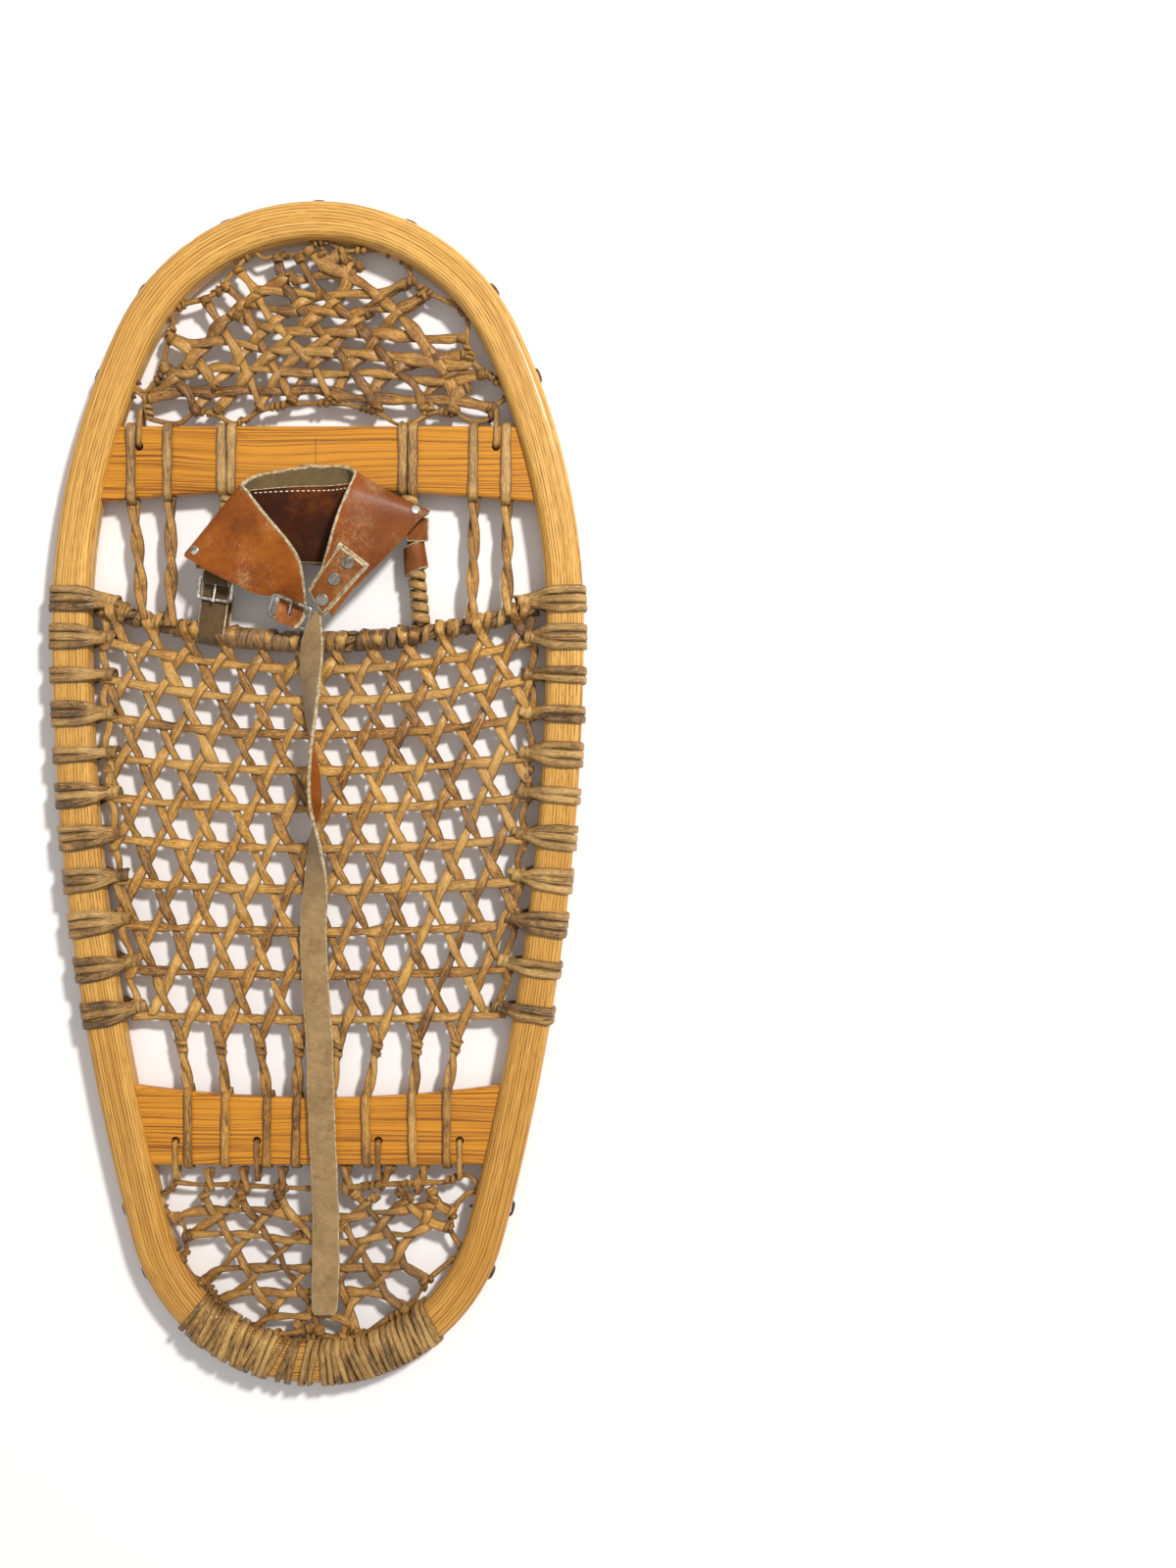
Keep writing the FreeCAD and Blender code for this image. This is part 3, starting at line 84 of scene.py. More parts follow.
def rail_at(y, side, inset=HALF_RAIL):
    """Point on the rail's middle line at this y, its outward direction and its running direction."""
    for cx, cy, radius, first, last in ARCS:
        ratio = (y - cy) / (radius - inset)
        if math.sin(math.radians(last)) - 1e-9 <= ratio <= math.sin(math.radians(first)) + 1e-9:
            angle = math.asin(max(-1.0, min(1.0, ratio)))
            out = Vector((side * math.cos(angle), math.sin(angle), 0))
            return Vector((side * cx, cy, 0)) + out * (radius - inset), out, UP.cross(out)
    return None


def half_x(y, inset):
    found = rail_at(y, 1, inset)
    return found[0].x if found else 0.0


def rail_along(distance, from_toe):
    """The same as rail_at, at a distance along the outer edge from the toe or heel tip."""
    near, far = (ARCS[0], ARCS[1]) if from_toe else (ARCS[3], ARCS[2])
    step = 1 if from_toe else -1
    side = -1 if distance < 0 else 1
    limit = math.radians(TOE_TURN if from_toe else HEEL_TURN)
    turn = abs(distance) / near[2]
    arc = near
    angle = math.pi / 2 - turn
    if turn > limit:
        arc = far
        angle = math.pi / 2 - limit - (turn - limit) * near[2] / far[2]
    angle *= step
    out = Vector((side * math.cos(angle), math.sin(angle), 0))
    return Vector((side * arc[0], arc[1], 0)) + out * (arc[2] - HALF_RAIL), out, UP.cross(out)


# Camera: straight above, a little to the right of the shoe's middle, looking down

def make_camera():
    data = bpy.data.cameras.new("camera")
    camera = bpy.data.objects.new("camera", data)
    bpy.context.collection.objects.link(camera)
    bpy.context.scene.camera = camera
    data.sensor_width = 36.0
    data.sensor_fit = "AUTO"
    data.lens = 36.9
    camera.location = (0.1675, 0.005, 1.0 + NET_PLANE * METRE)
    camera.rotation_euler = (0, 0, 0)
    data.clip_start, data.clip_end = 0.01, 100


make_camera()


# Shader building

class Sock:
    """A node's output; arithmetic on it adds Math nodes."""

    def __init__(self, nodes, output):
        self.nodes, self.output = nodes, output

    def math(self, operation, *values):
        return self.nodes.node("ShaderNodeMath", {"operation": operation}, *values)

    def __add__(self, other):
        return self.math("ADD", self, other)

    def __mul__(self, other):
        return self.math("MULTIPLY", self, other)

    def __sub__(self, other):
        return self.math("SUBTRACT", self, other)

    def __rsub__(self, other):
        return self.math("SUBTRACT", other, self)

    def __gt__(self, other):
        return self.math("GREATER_THAN", self, other)

    def __lt__(self, other):
        return self.math("LESS_THAN", self, other)

    def __pow__(self, other):
        return self.math("POWER", self, other)

    def __abs__(self):
        return self.math("ABSOLUTE", self)

    def sine(self):
        return self.math("SINE", self * (2 * math.pi))

    __radd__ = __add__
    __rmul__ = __mul__


class Nodes:
    """A node tree and the one way that nodes are added to it."""

    def __init__(self, tree):
        self.tree = tree

    def join(self, socket, value):
        if isinstance(value, Sock):
            self.tree.links.new(value.output, socket)
        elif hasattr(value, "__len__") and len(value) == 3 and len(socket.default_value) == 4:
            socket.default_value = (*value, 1.0)
        else:
            socket.default_value = value

    def node(self, kind, settings, *values, out=0, **named):
        """A new node: its settings, its inputs in order or by name, and the output that is used."""
        made = self.tree.nodes.new(kind)
        for key, value in settings.items():
            if key == "stops":
                ramp = made.color_ramp
                while len(ramp.elements) < len(value):
                    ramp.elements.new(0.5)
                for element, (place, colour) in zip(ramp.elements, value):
                    element.position = place
                    element.color = (*colour, 1.0)
            else:
                setattr(made, key, value)
        for index, value in enumerate(values):
            if value is not None:
                self.join(made.inputs[index], value)
        for name, value in named.items():
            self.join(made.inputs[name], value)
        return Sock(self, made.outputs[out])

    def split(self, vector):
        made = self.tree.nodes.new("ShaderNodeSeparateXYZ")
        self.join(made.inputs[0], vector)
        return [Sock(self, output) for output in made.outputs]

    def noise(self, vector, scale, detail=2.0, rough=0.5):
        """Noise at a vector, or at three coordinates."""
        if isinstance(vector, tuple):
            vector = self.node("ShaderNodeCombineXYZ", {}, *vector)
        return self.node("ShaderNodeTexNoise", {}, Vector=vector, Scale=scale, Detail=detail,
                         Roughness=rough)

    def ramp(self, value, *stops):
        return self.node("ShaderNodeValToRGB", {"stops": stops}, value)

    def spread(self, value, low, high, to_low=0.0, to_high=1.0):
        return self.node("ShaderNodeMapRange", {}, value, low, high, to_low, to_high)

    def mix(self, factor, a, b, kind="MIX"):
        made = self.tree.nodes.new("ShaderNodeMix")
        made.data_type = "RGBA"
        made.blend_type = kind
        for index, value in ((0, factor), (6, a), (7, b)):
            self.join(made.inputs[index], value)
        return Sock(self, made.outputs[2])

    def show(self, shader, output="Material Output"):
        self.join(self.tree.nodes[output].inputs["Surface"], shader)


class Finish(Nodes):
    """A procedural material round one Principled shader."""

    def __init__(self, name, **constants):
        self.material = bpy.data.materials.new(name)
        self.material.use_nodes = True
        super().__init__(self.material.node_tree)
        self.shader = next(n for n in self.tree.nodes if n.type == "BSDF_PRINCIPLED")
        self.set(**constants)

    def set(self, **sockets):
        for name, value in sockets.items():
            self.join(self.shader.inputs[name.replace("_", " ")], value)

    def place(self):
        return self.node("ShaderNodeTexCoord", {}, out="Object")

    def bump(self, height, depth):
        self.set(Normal=self.node("ShaderNodeBump", {}, Strength=1.0, Distance=depth, Height=height))


def along_hoop(f):
    """Distance outwards from the hoop's outer edge, in metres, and the turn round the hoop."""
    x, y, z = f.split(f.place())
    ax = abs(x)

    def beyond(arc):
        dx, dy = ax - arc[0] * METRE, y - arc[1] * METRE
        return (dx * dx + dy * dy) ** 0.5 - arc[2] * METRE

    def sector(arc, turn, way):
        s, c = math.sin(math.radians(turn)), math.cos(math.radians(turn))
        return ((y - arc[1] * METRE) * (way * s) - ax * c) > 0.0

    def choose(test, a, b):
        return test * a + (1 - test) * b

    front = choose(sector(ARCS[0], TOE_TURN, 1), beyond(ARCS[0]), beyond(ARCS[1]))
    rear = choose(sector(ARCS[3], HEEL_TURN, -1), beyond(ARCS[3]), beyond(ARCS[2]))
    radial = choose(y > WIDEST_Y * METRE, front, rear)
    return radial, x.math("ARCTAN2", x, y), z


def ash_hoop():
    f = Finish("ash_hoop", Coat_Roughness=0.16, IOR=1.5, Specular_IOR_Level=0.3)
    radial, turn, z = along_hoop(f)
    slow = f.noise((radial * 30.0, z * 30.0, turn * 1.6), 1.0, 2.0)
    ring = (radial * 1150.0 + slow * 5.0, z * 420.0, turn * 2.2)
    lines = f.noise(ring, 1.0, 2.5, 0.7)
    pores = f.noise((radial * 1500.0, z * 900.0, turn * 30.0), 1.0, 2.0)
    wave = (radial * 520.0 + z * 160.0 + slow * 2.6).sine()
    year = f.spread(wave, 0.55, 0.98) * f.spread(pores, 0.32, 0.56)
    grain = f.spread(lines, 0.44, 0.64) * 0.6 + year * 1.0
    base = f.ramp(grain, (0.0, (0.71, 0.41, 0.105)), (0.42, (0.56, 0.28, 0.048)),
                  (1.0, (0.25, 0.095, 0.012)))
    tint = f.mix(f.spread(slow, 0.35, 0.7), base, (0.63, 0.36, 0.085))
    blotch = f.noise(f.place(), 9.0, 3.0)
    aged = f.mix(f.spread(blotch, 0.5, 0.75, 0.0, 0.45), base, (0.47, 0.22, 0.035))
    heelward = f.split(f.place())[1]
    colour = f.mix(f.spread(heelward, 0.12, -0.3, 0.0, 0.75), f.mix(0.12, aged, tint),
                   (0.74, 0.65, 0.42), "MULTIPLY")
    dark = f.mix(f.spread(pores, 0.58, 0.72, 0.0, 0.5), colour, (0.22, 0.09, 0.02))
    f.set(Base_Color=dark, Roughness=f.spread(lines, 0.3, 0.7, 0.36, 0.55), Coat_Weight=0.2)
    f.bump(grain + pores * 0.4, 0.00012)
    return f.material


def ash_board(name, pencil_y=None):
    """Crossbar board: flat-sawn ash with its grain along x."""
    f = Finish(name, Coat_Roughness=0.2, IOR=1.5, Specular_IOR_Level=0.3)
    x, y, z = f.split(f.place())
    warp = f.noise((x * 7.0, y * 24.0, z * 24.0), 1.0, 2.0)
    lines = f.noise((x * 6.0, y * 1050.0 + warp * 14.0, z * 300.0), 1.0, 2.5, 0.7)
    pores = f.noise((x * 120.0, y * 1500.0, z * 900.0), 1.0, 1.0)
    grain = f.spread(lines, 0.46, 0.61)
    base = f.ramp(grain, (0.0, (0.58, 0.235, 0.014)), (0.5, (0.48, 0.175, 0.008)),
                  (1.0, (0.19, 0.056, 0.003)))
    streak = f.mix(f.spread(warp, 0.4, 0.7, 0.0, 0.4), base, (0.62, 0.27, 0.025))
    colour = f.mix(f.spread(pores, 0.56, 0.7, 0.0, 0.55) * grain, streak, (0.13, 0.045, 0.01))
    if pencil_y:
        line = (abs(x + 0.0013) < 0.00035) * (y > pencil_y[0]) * (y < pencil_y[1]) * 0.6
        colour = f.mix(line, colour, (0.09, 0.05, 0.03))
    f.set(Base_Color=colour, Roughness=f.spread(lines, 0.3, 0.7, 0.38, 0.55), Coat_Weight=0.12)
    f.bump(grain, 0.0001)
    return f.material


def rawhide(name, light, mid, dark, grey, highlight_share=0.5, coat=0.25):
    """Varnished thong: fibres run along it, and each strand has its own tone; a painted greyish highlight
    in broad patches and painted shade along its edges are mixed into the colour.
    """
    f = Finish(name, Coat_Roughness=0.28, IOR=1.5)
    u, v, _ = f.split(f.node("ShaderNodeUVMap", {"uv_map": "strand"}))
    tone = f.node("ShaderNodeAttribute", {"attribute_name": "tone"}, out="Fac")
    fibres = f.noise((u * 0.35 + tone * 40.0, v * 26.0, tone * 9.0), 1.0, 3.0, 0.65)
    patches = f.noise(f.place(), 55.0, 3.0, 0.6)
    broad = f.noise(f.place(), 14.0, 2.0)
    streaks = f.noise((u * 0.06 + tone * 70.0, v * 44.0, tone * 5.0), 1.0, 2.0, 0.6)
    shade = fibres * 0.36 + streaks * 0.34 + patches * 0.32 + tone * 0.13 - 0.07
    colour = f.ramp(shade, (0.39, dark), (0.50, mid), (0.62, light))
    # painted highlight: broad patches of greyish colour stand in for highlights on the varnish
    grey_highlights = f.mix(f.spread(broad + tone * 0.25, 0.56, 0.85, 0.0, highlight_share), colour, grey)
    # painted shade: the colour darkens towards both edges of the strand's width, standing in for shade at
    # its sides
    wear_and_edge_shade = f.mix(f.spread(abs(v.sine()), 0.0, 0.45, 0.8, 0.0), grey_highlights, dark)
    f.set(Base_Color=wear_and_edge_shade, Roughness=f.spread(patches, 0.3, 0.7, 0.34, 0.6), Coat_Weight=coat)
    f.bump(fibres * 0.9 + streaks * 0.8 + patches * 0.6, 0.0011)
    return f.material


def leather(name, light, mid, dark, scuff=0.6, rough=(0.36, 0.6), coat=0.12):
    f = Finish(name, IOR=1.47, Coat_Roughness=0.3, Specular_IOR_Level=0.22)
    p = f.place()
    cells = f.node("ShaderNodeTexVoronoi", {"feature": "DISTANCE_TO_EDGE"}, Vector=p, Scale=900.0)
    cloudy = f.noise(p, 26.0, 4.0, 0.6)
    fine = f.noise(p, 260.0, 3.0, 0.7)
    x, y, z = f.split(p)
    down = f.noise(((x + y) * 260.0, (x - y) * 2100.0, z * 900.0), 1.0, 3.0, 0.7)
    aslant = f.noise((x * 1900.0 + y * 500.0, y * 230.0, z * 900.0), 1.0, 3.0, 0.7)
    specks = f.noise(p, 1400.0, 2.0, 0.7)
    colour = f.ramp(cloudy * 0.75 + fine * 0.25, (0.3, dark), (0.5, mid), (0.68, light))
    wear_and_edge_shade = f.noise(p, 42.0, 3.0, 0.6)
    scratch = down.math("MAXIMUM", down, aslant) * 0.55 + specks * 0.2
    marks = f.spread(scratch + wear_and_edge_shade * 0.52, 0.69, 0.80, 0.0, scuff)
    scuffed = f.mix(marks, colour, (0.62, 0.36, 0.17))
    shaded = f.mix(f.spread(x, 0.01, 0.04, 0.0, 0.55), scuffed, dark)
    f.set(Base_Color=shaded, Roughness=f.spread(marks, 0.0, 0.6, *rough), Coat_Weight=coat)
    f.bump(f.spread(cells, 0.0, 0.12) * 0.4 + fine, 0.00018)
    return f.material


def suede(name, light, dark):
    """Flesh side: matt, mottled and hairy."""
    f = Finish(name, IOR=1.4, Sheen_Weight=0.35, Sheen_Roughness=0.5)
    p = f.place()
    hair = f.noise(p, 900.0, 3.0, 0.8)
    cloudy = f.noise(p, 45.0, 4.0, 0.65)
    spots = f.noise(p, 230.0, 3.0, 0.7)
    colour = f.ramp(hair * 0.35 + cloudy * 0.4 + spots * 0.3, (0.36, dark), (0.66, light))
    f.set(Base_Color=colour, Roughness=f.spread(hair, 0.3, 0.7, 0.8, 0.98))
    f.bump(hair + spots * 0.8, 0.0004)
    return f.material


def cut_edge():
    f = Finish("cut_edge", IOR=1.4)
    p = f.place()
    flecks = f.noise(p, 420.0, 3.0, 0.7)
    colour = f.ramp(flecks, (0.32, (0.17, 0.115, 0.055)), (0.5, (0.40, 0.31, 0.18)),
                    (0.66, (0.62, 0.53, 0.37)))
    f.set(Base_Color=colour, Roughness=f.spread(flecks, 0.3, 0.7, 0.7, 0.9))
    f.bump(flecks, 0.0003)
    return f.material


def metal(name, clean, wear_and_edge_shade, rough):
    f = Finish(name, IOR=1.5)
    p = f.place()
    wear = f.noise(p, 160.0, 4.0, 0.65)
    fine = f.noise(p, 1100.0, 2.0)
    spots = f.spread(wear, 0.48, 0.62)
    f.set(Base_Color=f.mix(spots, clean, wear_and_edge_shade), Roughness=f.spread(wear, 0.35, 0.7, *rough),
          Metallic=f.spread(spots, 0.0, 1.0, 1.0, 0.75))
    f.bump(fine, 0.00004)
    return f.material


def thread():
    f = Finish("white_thread", IOR=1.45)
    x, y, z = f.split(f.place())
    twist = f.noise((x * 1500.0, y * 2600.0, z * 1500.0), 1.0, 1.0)
    f.set(Base_Color=f.ramp(twist, (0.3, (0.55, 0.45, 0.34)), (0.7, (0.82, 0.76, 0.66))),
          Roughness=f.spread(twist, 0.3, 0.7, 0.7, 0.9))
    f.bump(twist, 0.0002)
    return f.material


FINISH = {
    "hoop": ash_hoop(),
    "toe_bar": ash_board("ash_toe_bar", (0.2035, 0.2195)),
    "heel_bar": ash_board("ash_heel_bar"),
    "lacing": rawhide("rawhide_lacing", (0.76, 0.42, 0.095), (0.44, 0.20, 0.030),
                      (0.10, 0.038, 0.008), (0.40, 0.26, 0.11), 0.3, 0.2),
    "toe_lacing": rawhide("rawhide_toe_lacing", (0.62, 0.32, 0.06), (0.33, 0.14, 0.019),
                          (0.075, 0.028, 0.006), (0.30, 0.19, 0.08), 0.3, 0.15),
    "wraps": rawhide("rawhide_wraps", (0.70, 0.42, 0.13), (0.36, 0.185, 0.044),
                     (0.045, 0.018, 0.005), (0.42, 0.28, 0.12), 0.3, 0.15),
    "dark": rawhide("rawhide_dark", (0.36, 0.19, 0.060), (0.175, 0.083, 0.023),
                    (0.035, 0.015, 0.005), (0.27, 0.17, 0.08), 0.3, 0.25),
    "grain": leather("collar_leather", (0.40, 0.120, 0.008), (0.27, 0.066, 0.003),
                     (0.090, 0.018, 0.001), 0.8, (0.4, 0.6), 0.06),
    "inner": leather("lining_leather", (0.15, 0.036, 0.001), (0.045, 0.008, 0.0004),
                     (0.010, 0.002, 0.0003), 0.03, (0.8, 0.95), 0.0),
    "tab": leather("tab_leather", (0.50, 0.25, 0.09), (0.24, 0.070, 0.009),
                   (0.07, 0.016, 0.002), 1.0, (0.5, 0.75)),
    "flesh": suede("collar_flesh", (0.16, 0.105, 0.038), (0.07, 0.043, 0.014)),
    "suede": suede("strap_suede", (0.40, 0.26, 0.115), (0.16, 0.09, 0.030)),
    "anchor": suede("anchor_suede", (0.13, 0.072, 0.022), (0.036, 0.019, 0.006)),
    "edge": cut_edge(),
    "nickel": metal("worn_nickel", (0.52, 0.49, 0.45), (0.16, 0.12, 0.08), (0.16, 0.34)),
    "dull_nickel": metal("dull_nickel", (0.36, 0.33, 0.29), (0.10, 0.075, 0.05), (0.16, 0.34)),
    "steel": metal("rivet_steel", (0.27, 0.25, 0.22), (0.13, 0.10, 0.07), (0.35, 0.6)),
    "thread": thread(),
}


# Strands

def dress(piece, finishes, body, nodes):
    for finish in finishes:
        piece.data.materials.append(FINISH[finish])
    if nodes:
        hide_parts(*nodes)
    if body:
        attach(piece, body)


def smooth_path(points, step=None, count=None):
    """Points along a curve through the given ones: a step apart, or so many between each two."""
    if len(points) < 3:
        a, b = points[0], points[-1]
        count = max(1, round((b - a).length / step))
        return [a.lerp(b, k / count) for k in range(count + 1)]
    padded = [points[0] * 2 - points[1]] + list(points) + [points[-1] * 2 - points[-2]]
    result = []
    for k in range(len(points) - 1):
        p0, p1, p2, p3 = padded[k:k + 4]
        parts = count or max(1, round((p2 - p1).length / step))
        for j in range(parts):
            t = j / parts
            result.append(0.5 * ((2 * p1) + (p2 - p0) * t + (2 * p0 - 5 * p1 + 4 * p2 - p3) * t * t
                                 + (3 * p1 - p0 - 3 * p2 + p3) * t ** 3))
    result.append(points[-1].copy())
    return result


def running_lengths(path):
    lengths = [0.0]
    for a, b in zip(path, path[1:]):
        lengths.append(lengths[-1] + (b - a).length)
    return lengths


class Thongs:
    """Collects strands of thong into one mesh."""

    SIDES = 8

    def __init__(self, spread=0.35):
        self.vertices, self.faces, self.uvs, self.tones = [], [], [], []
        self.spread = spread

    def add(self, points, width, thickness, across=None, step=2.4, ragged=0.12, roll=0.0,
            closed=False):
        """One strand: across is the direction of its width, flat in the net plane where not given."""
        path = smooth_path(points, step)
        if closed:
            path = path[:-1]
        count = len(path)
        seed = Vector((dice.uniform(0, 100), dice.uniform(0, 100), dice.uniform(0, 100)))
        tone = dice.uniform(0, 1)
        start = len(self.vertices)
        distance = 0.0
        lengths = []
        for k, p in enumerate(path):
            before = path[k - 1] if k or closed else p
            after = path[(k + 1) % count] if k < count - 1 or closed else p
            tangent = (after - before).normalized()
            if k:
                distance += (p - path[k - 1]).length
            lengths.append(distance)
            side = across(p) if callable(across) else across
            side = tangent.cross(UP) if side is None else side
            if side.length < 0.1:
                side = Vector((1, 0, 0))
            normal = tangent.cross(side).normalized()
            side = normal.cross(tangent).normalized()
            spot = seed + p * 0.09
            wobble = noise.noise(spot)
            twist = math.radians(roll + 9 * noise.noise(spot + Vector((7, 0, 0))))
            side, normal = (side * math.cos(twist) + normal * math.sin(twist),
                            normal * math.cos(twist) - side * math.sin(twist))
            w = width / 2 * (1 + ragged * 2 * wobble)
            h = thickness / 2 * (1 + ragged * 1.6 * noise.noise(spot + Vector((0, 5, 0))))
            shift = side * (self.spread * noise.noise(spot * 0.5 + Vector((0, 0, 9))))
            for j in range(self.SIDES):
                angle = 2 * math.pi * (j + 0.5) / self.SIDES
                c, s = math.cos(angle), math.sin(angle)
                c, s = math.copysign(abs(c) ** 0.7, c), math.copysign(abs(s) ** 0.8, s)
                bumpy = 1 + 0.10 * noise.noise(seed + Vector((j * 1.7, distance * 0.16, 3)))
                self.vertices.append(p + shift + side * (c * w * bumpy) + normal * (s * h * bumpy))
            self.tones += [tone] * self.SIDES
        lengths.append(distance + (path[0] - path[-1]).length)
        rounds = count if closed else count - 1
        for k in range(rounds):
            a, b = start + k * self.SIDES, start + ((k + 1) % count) * self.SIDES
            for j in range(self.SIDES):
                i = (j + 1) % self.SIDES
                self.faces.append((a + j, b + j, b + i, a + i))
                u0, u1 = lengths[k], lengths[k + 1]
                v0, v1 = j / self.SIDES, (j + 1) / self.SIDES
                self.uvs.append(((u0, v0), (u1, v0), (u1, v1), (u0, v1)))
        if not closed:
            last = start + (count - 1) * self.SIDES
            self.faces.append(tuple(range(start, start + self.SIDES)))
            self.faces.append(tuple(range(last + self.SIDES - 1, last - 1, -1)))
            self.uvs += [tuple((0.0, j / self.SIDES) for j in range(self.SIDES))] * 2

    def coil(self, points, radius, width, thickness, turns=None, pitch=None, start=0.0, ragged=0.14):
        """A thong wound round a path; turns given, or as many as the pitch fits in."""
        path = smooth_path(points, 1.5)
        lengths = running_lengths(path)
        turns = turns or max(1, round(lengths[-1] / pitch))
        steps = int(turns * 12)
        spiral = []
        centres = []
        for k in range(steps + 1):
            target = lengths[-1] * k / steps
            i = next((n for n in range(1, len(path)) if lengths[n] >= target - 1e-9), len(path) - 1)
            span = lengths[i] - lengths[i - 1] or 1
            centre = path[i - 1].lerp(path[i], (target - lengths[i - 1]) / span)
            run = (path[i] - path[i - 1]).normalized()
            flat = run.cross(UP).normalized()
            high = flat.cross(run)
            angle = start + 2 * math.pi * k / 12
            spiral.append(centre + (flat * math.cos(angle) + high * math.sin(angle)) * radius)
            centres.append((centre, run))

        def across(p):
            return min(centres, key=lambda c: (c[0] - p).length_squared)[1]

        self.add(spiral, width, thickness, across, step=width * 0.7, ragged=ragged)

    def finish(self, name, finish, body, *nodes):
        mesh = bpy.data.meshes.new(name)
        mesh.from_pydata([(v + UP * NET_PLANE) * METRE for v in self.vertices], [], self.faces)
        layer = mesh.uv_layers.new(name="strand")
        for polygon, corners in zip(mesh.polygons, self.uvs):
            for loop, uv in zip(polygon.loop_indices, corners):
                layer.data[loop].uv = uv
        mesh.attributes.new("tone", "FLOAT", "POINT").data.foreach_set("value", self.tones)
        mesh.polygons.foreach_set("use_smooth", [True] * len(self.faces))
        mesh.validate()
        mesh.update()
        piece = bpy.data.objects.new(name, mesh)
        bpy.context.collection.objects.link(piece)
        dress(piece, [finish], body, nodes)


# The nets

BODY_ROWS = 10
CORD_MIDDLE, CORD_SAG, CORD_RADIUS = 93.2, 23.4, 4.75
NET_EDGE = HALF_WIDTH - RAIL_WIDTH
CORD_BOW = (NET_EDGE ** 2 + CORD_SAG ** 2) / (2 * CORD_SAG)


def cord_y(x):
    """y of the toe cord, which sags towards the heel in the middle."""
    return CORD_MIDDLE + CORD_BOW - math.sqrt(CORD_BOW ** 2 - min(abs(x), HALF_WIDTH) ** 2)


def body_edge_y(v):
    """y at which row v, counted from the toe hole, meets the rails."""
    return 119.4 - 22.9 * v - 0.27 * v * v


def cell_width(v):
    return 22.6 + 0.18 * v


def body_place(u, v):
    """Point of the body net, u cells from its middle line in row v."""
    x = u * cell_width(v)
    sag = 4.0 + 22.0 * math.exp(-v / 3.2)
    return Vector((x, body_edge_y(v) - sag * (1 - (x / NET_EDGE) ** 2), 0))


def weave_height(v, sign, layer):
    """Height of a diagonal: over or under the rows, back the other way past its fellow."""
    offset = abs(v - round(v))
    share = min(1.0, max(0.0, (offset - 0.10) / 0.30))
    share = share * share * (3 - 2 * share)
    return sign * layer * (1 - 1.6 * share)


def diagonal(inside, index, lean, last_v, layer):
    """Middle line of a strand that leans right or left as v grows, where it is inside the net."""
    points = []
    count = int(last_v / 0.06)
    for k in range(count + 1):
        v = last_v * k / count
        p = body_place(lean * (index + 0.25 + v / 2), v)
        if inside(p):
            points.append(p + UP * weave_height(v, -lean, layer))
        elif points:
            break
    return points


def row_line(v, reach, layer):
    """Middle line of a row, which waves over and under the diagonals."""
    points = []
    count = 60
    for k in range(count + 1):
        x = reach * (2 * k / count - 1)
        wave = math.sin(2 * math.pi * (x / cell_width(v) - v / 2))
        points.append(body_place(x / cell_width(v), v) + UP * (0.45 * layer * wave))
    return points


def edge_hook(p, turned):
    """Turn of a diagonal's end round the thong along the rail: its top, or its foot once turned."""
    out, height = (1.5, -2.4) if turned else (2.6, 1.2)
    return Vector((p.x + math.copysign(out, p.x), p.y, height))


# Where the last diagonals meet and the thongs from the heel bar are joined on
LAST_V = 10.5
JOINS = [body_place(k - 3.5, LAST_V) for k in range(8)]


def make_body_net():
    layer = 1.35
    edge = RAIL_WIDTH + 8.0

    def inside(p):
        return abs(p.x) < half_x(p.y, edge) and p.y < cord_y(p.x) - CORD_RADIUS - 1.5

    for side, lean in (("left", -1), ("right", 1)):
        thongs = Thongs()
        for index in range(-18, 19):
            line = diagonal(inside, index, lean, LAST_V + 0.12, layer)
            while line and abs(line[-1].x) > 95 and line[-1].y < body_edge_y(BODY_ROWS):
                line.pop()
            if len(line) < 5:
                continue
            head = line[0]
            if abs(head.y - cord_y(head.x)) < 14:
                top = Vector((head.x - lean * 2.5, cord_y(head.x), CORD_RADIUS + 2.0))
                front, under = (Vector((head.x - lean * 3.5, cord_y(head.x) + ahead, height))
                                for ahead, height in ((CORD_RADIUS + 1.6, 0), (0, -CORD_RADIUS - 1.6)))
                line = [under, front, top, head.lerp(top, 0.35)] + line[1:]
            else:
                line = [edge_hook(line[0], True), edge_hook(line[0], False)] + line
            tail = line[-1]
            if tail.y > body_edge_y(LAST_V - 0.4):
                line = line + [edge_hook(tail, False), edge_hook(tail, True)]
            thongs.add(line, dice.uniform(5.2, 6.6), 1.7, step=2.2, ragged=0.26,
                       roll=dice.uniform(-12, 12))
        thongs.finish(f"body_net_{side}_lean", "lacing", "frame", f"body_net_{side}_diagonals")
    rows = Thongs()
    for v in range(1, BODY_ROWS + 1):
        reach = half_x(body_edge_y(v), RAIL_WIDTH + 5.0)
        rows.add(row_line(v, reach, layer), 5.8, 1.8, step=2.2, ragged=0.26)
    rows.finish("body_rows", "lacing", "frame", "body_net_rows")
    edges = Thongs()
    first_y, last_y = body_edge_y(0.45), body_edge_y(BODY_ROWS)
    for side in (-1, 1):
        line = []
        for k in range(60):
            y = first_y + (last_y - first_y) * k / 59
            x = half_x(y, RAIL_WIDTH + 8.5 + 1.5 * math.sin(k * 0.9))
            line.append(Vector((side * x, y, 0.9 * math.sin(k * 1.1))))
        edges.add(line, 4.6, 2.0, step=2.6)
    edges.finish("net_edges", "lacing", "frame", "net_edge_thongs")


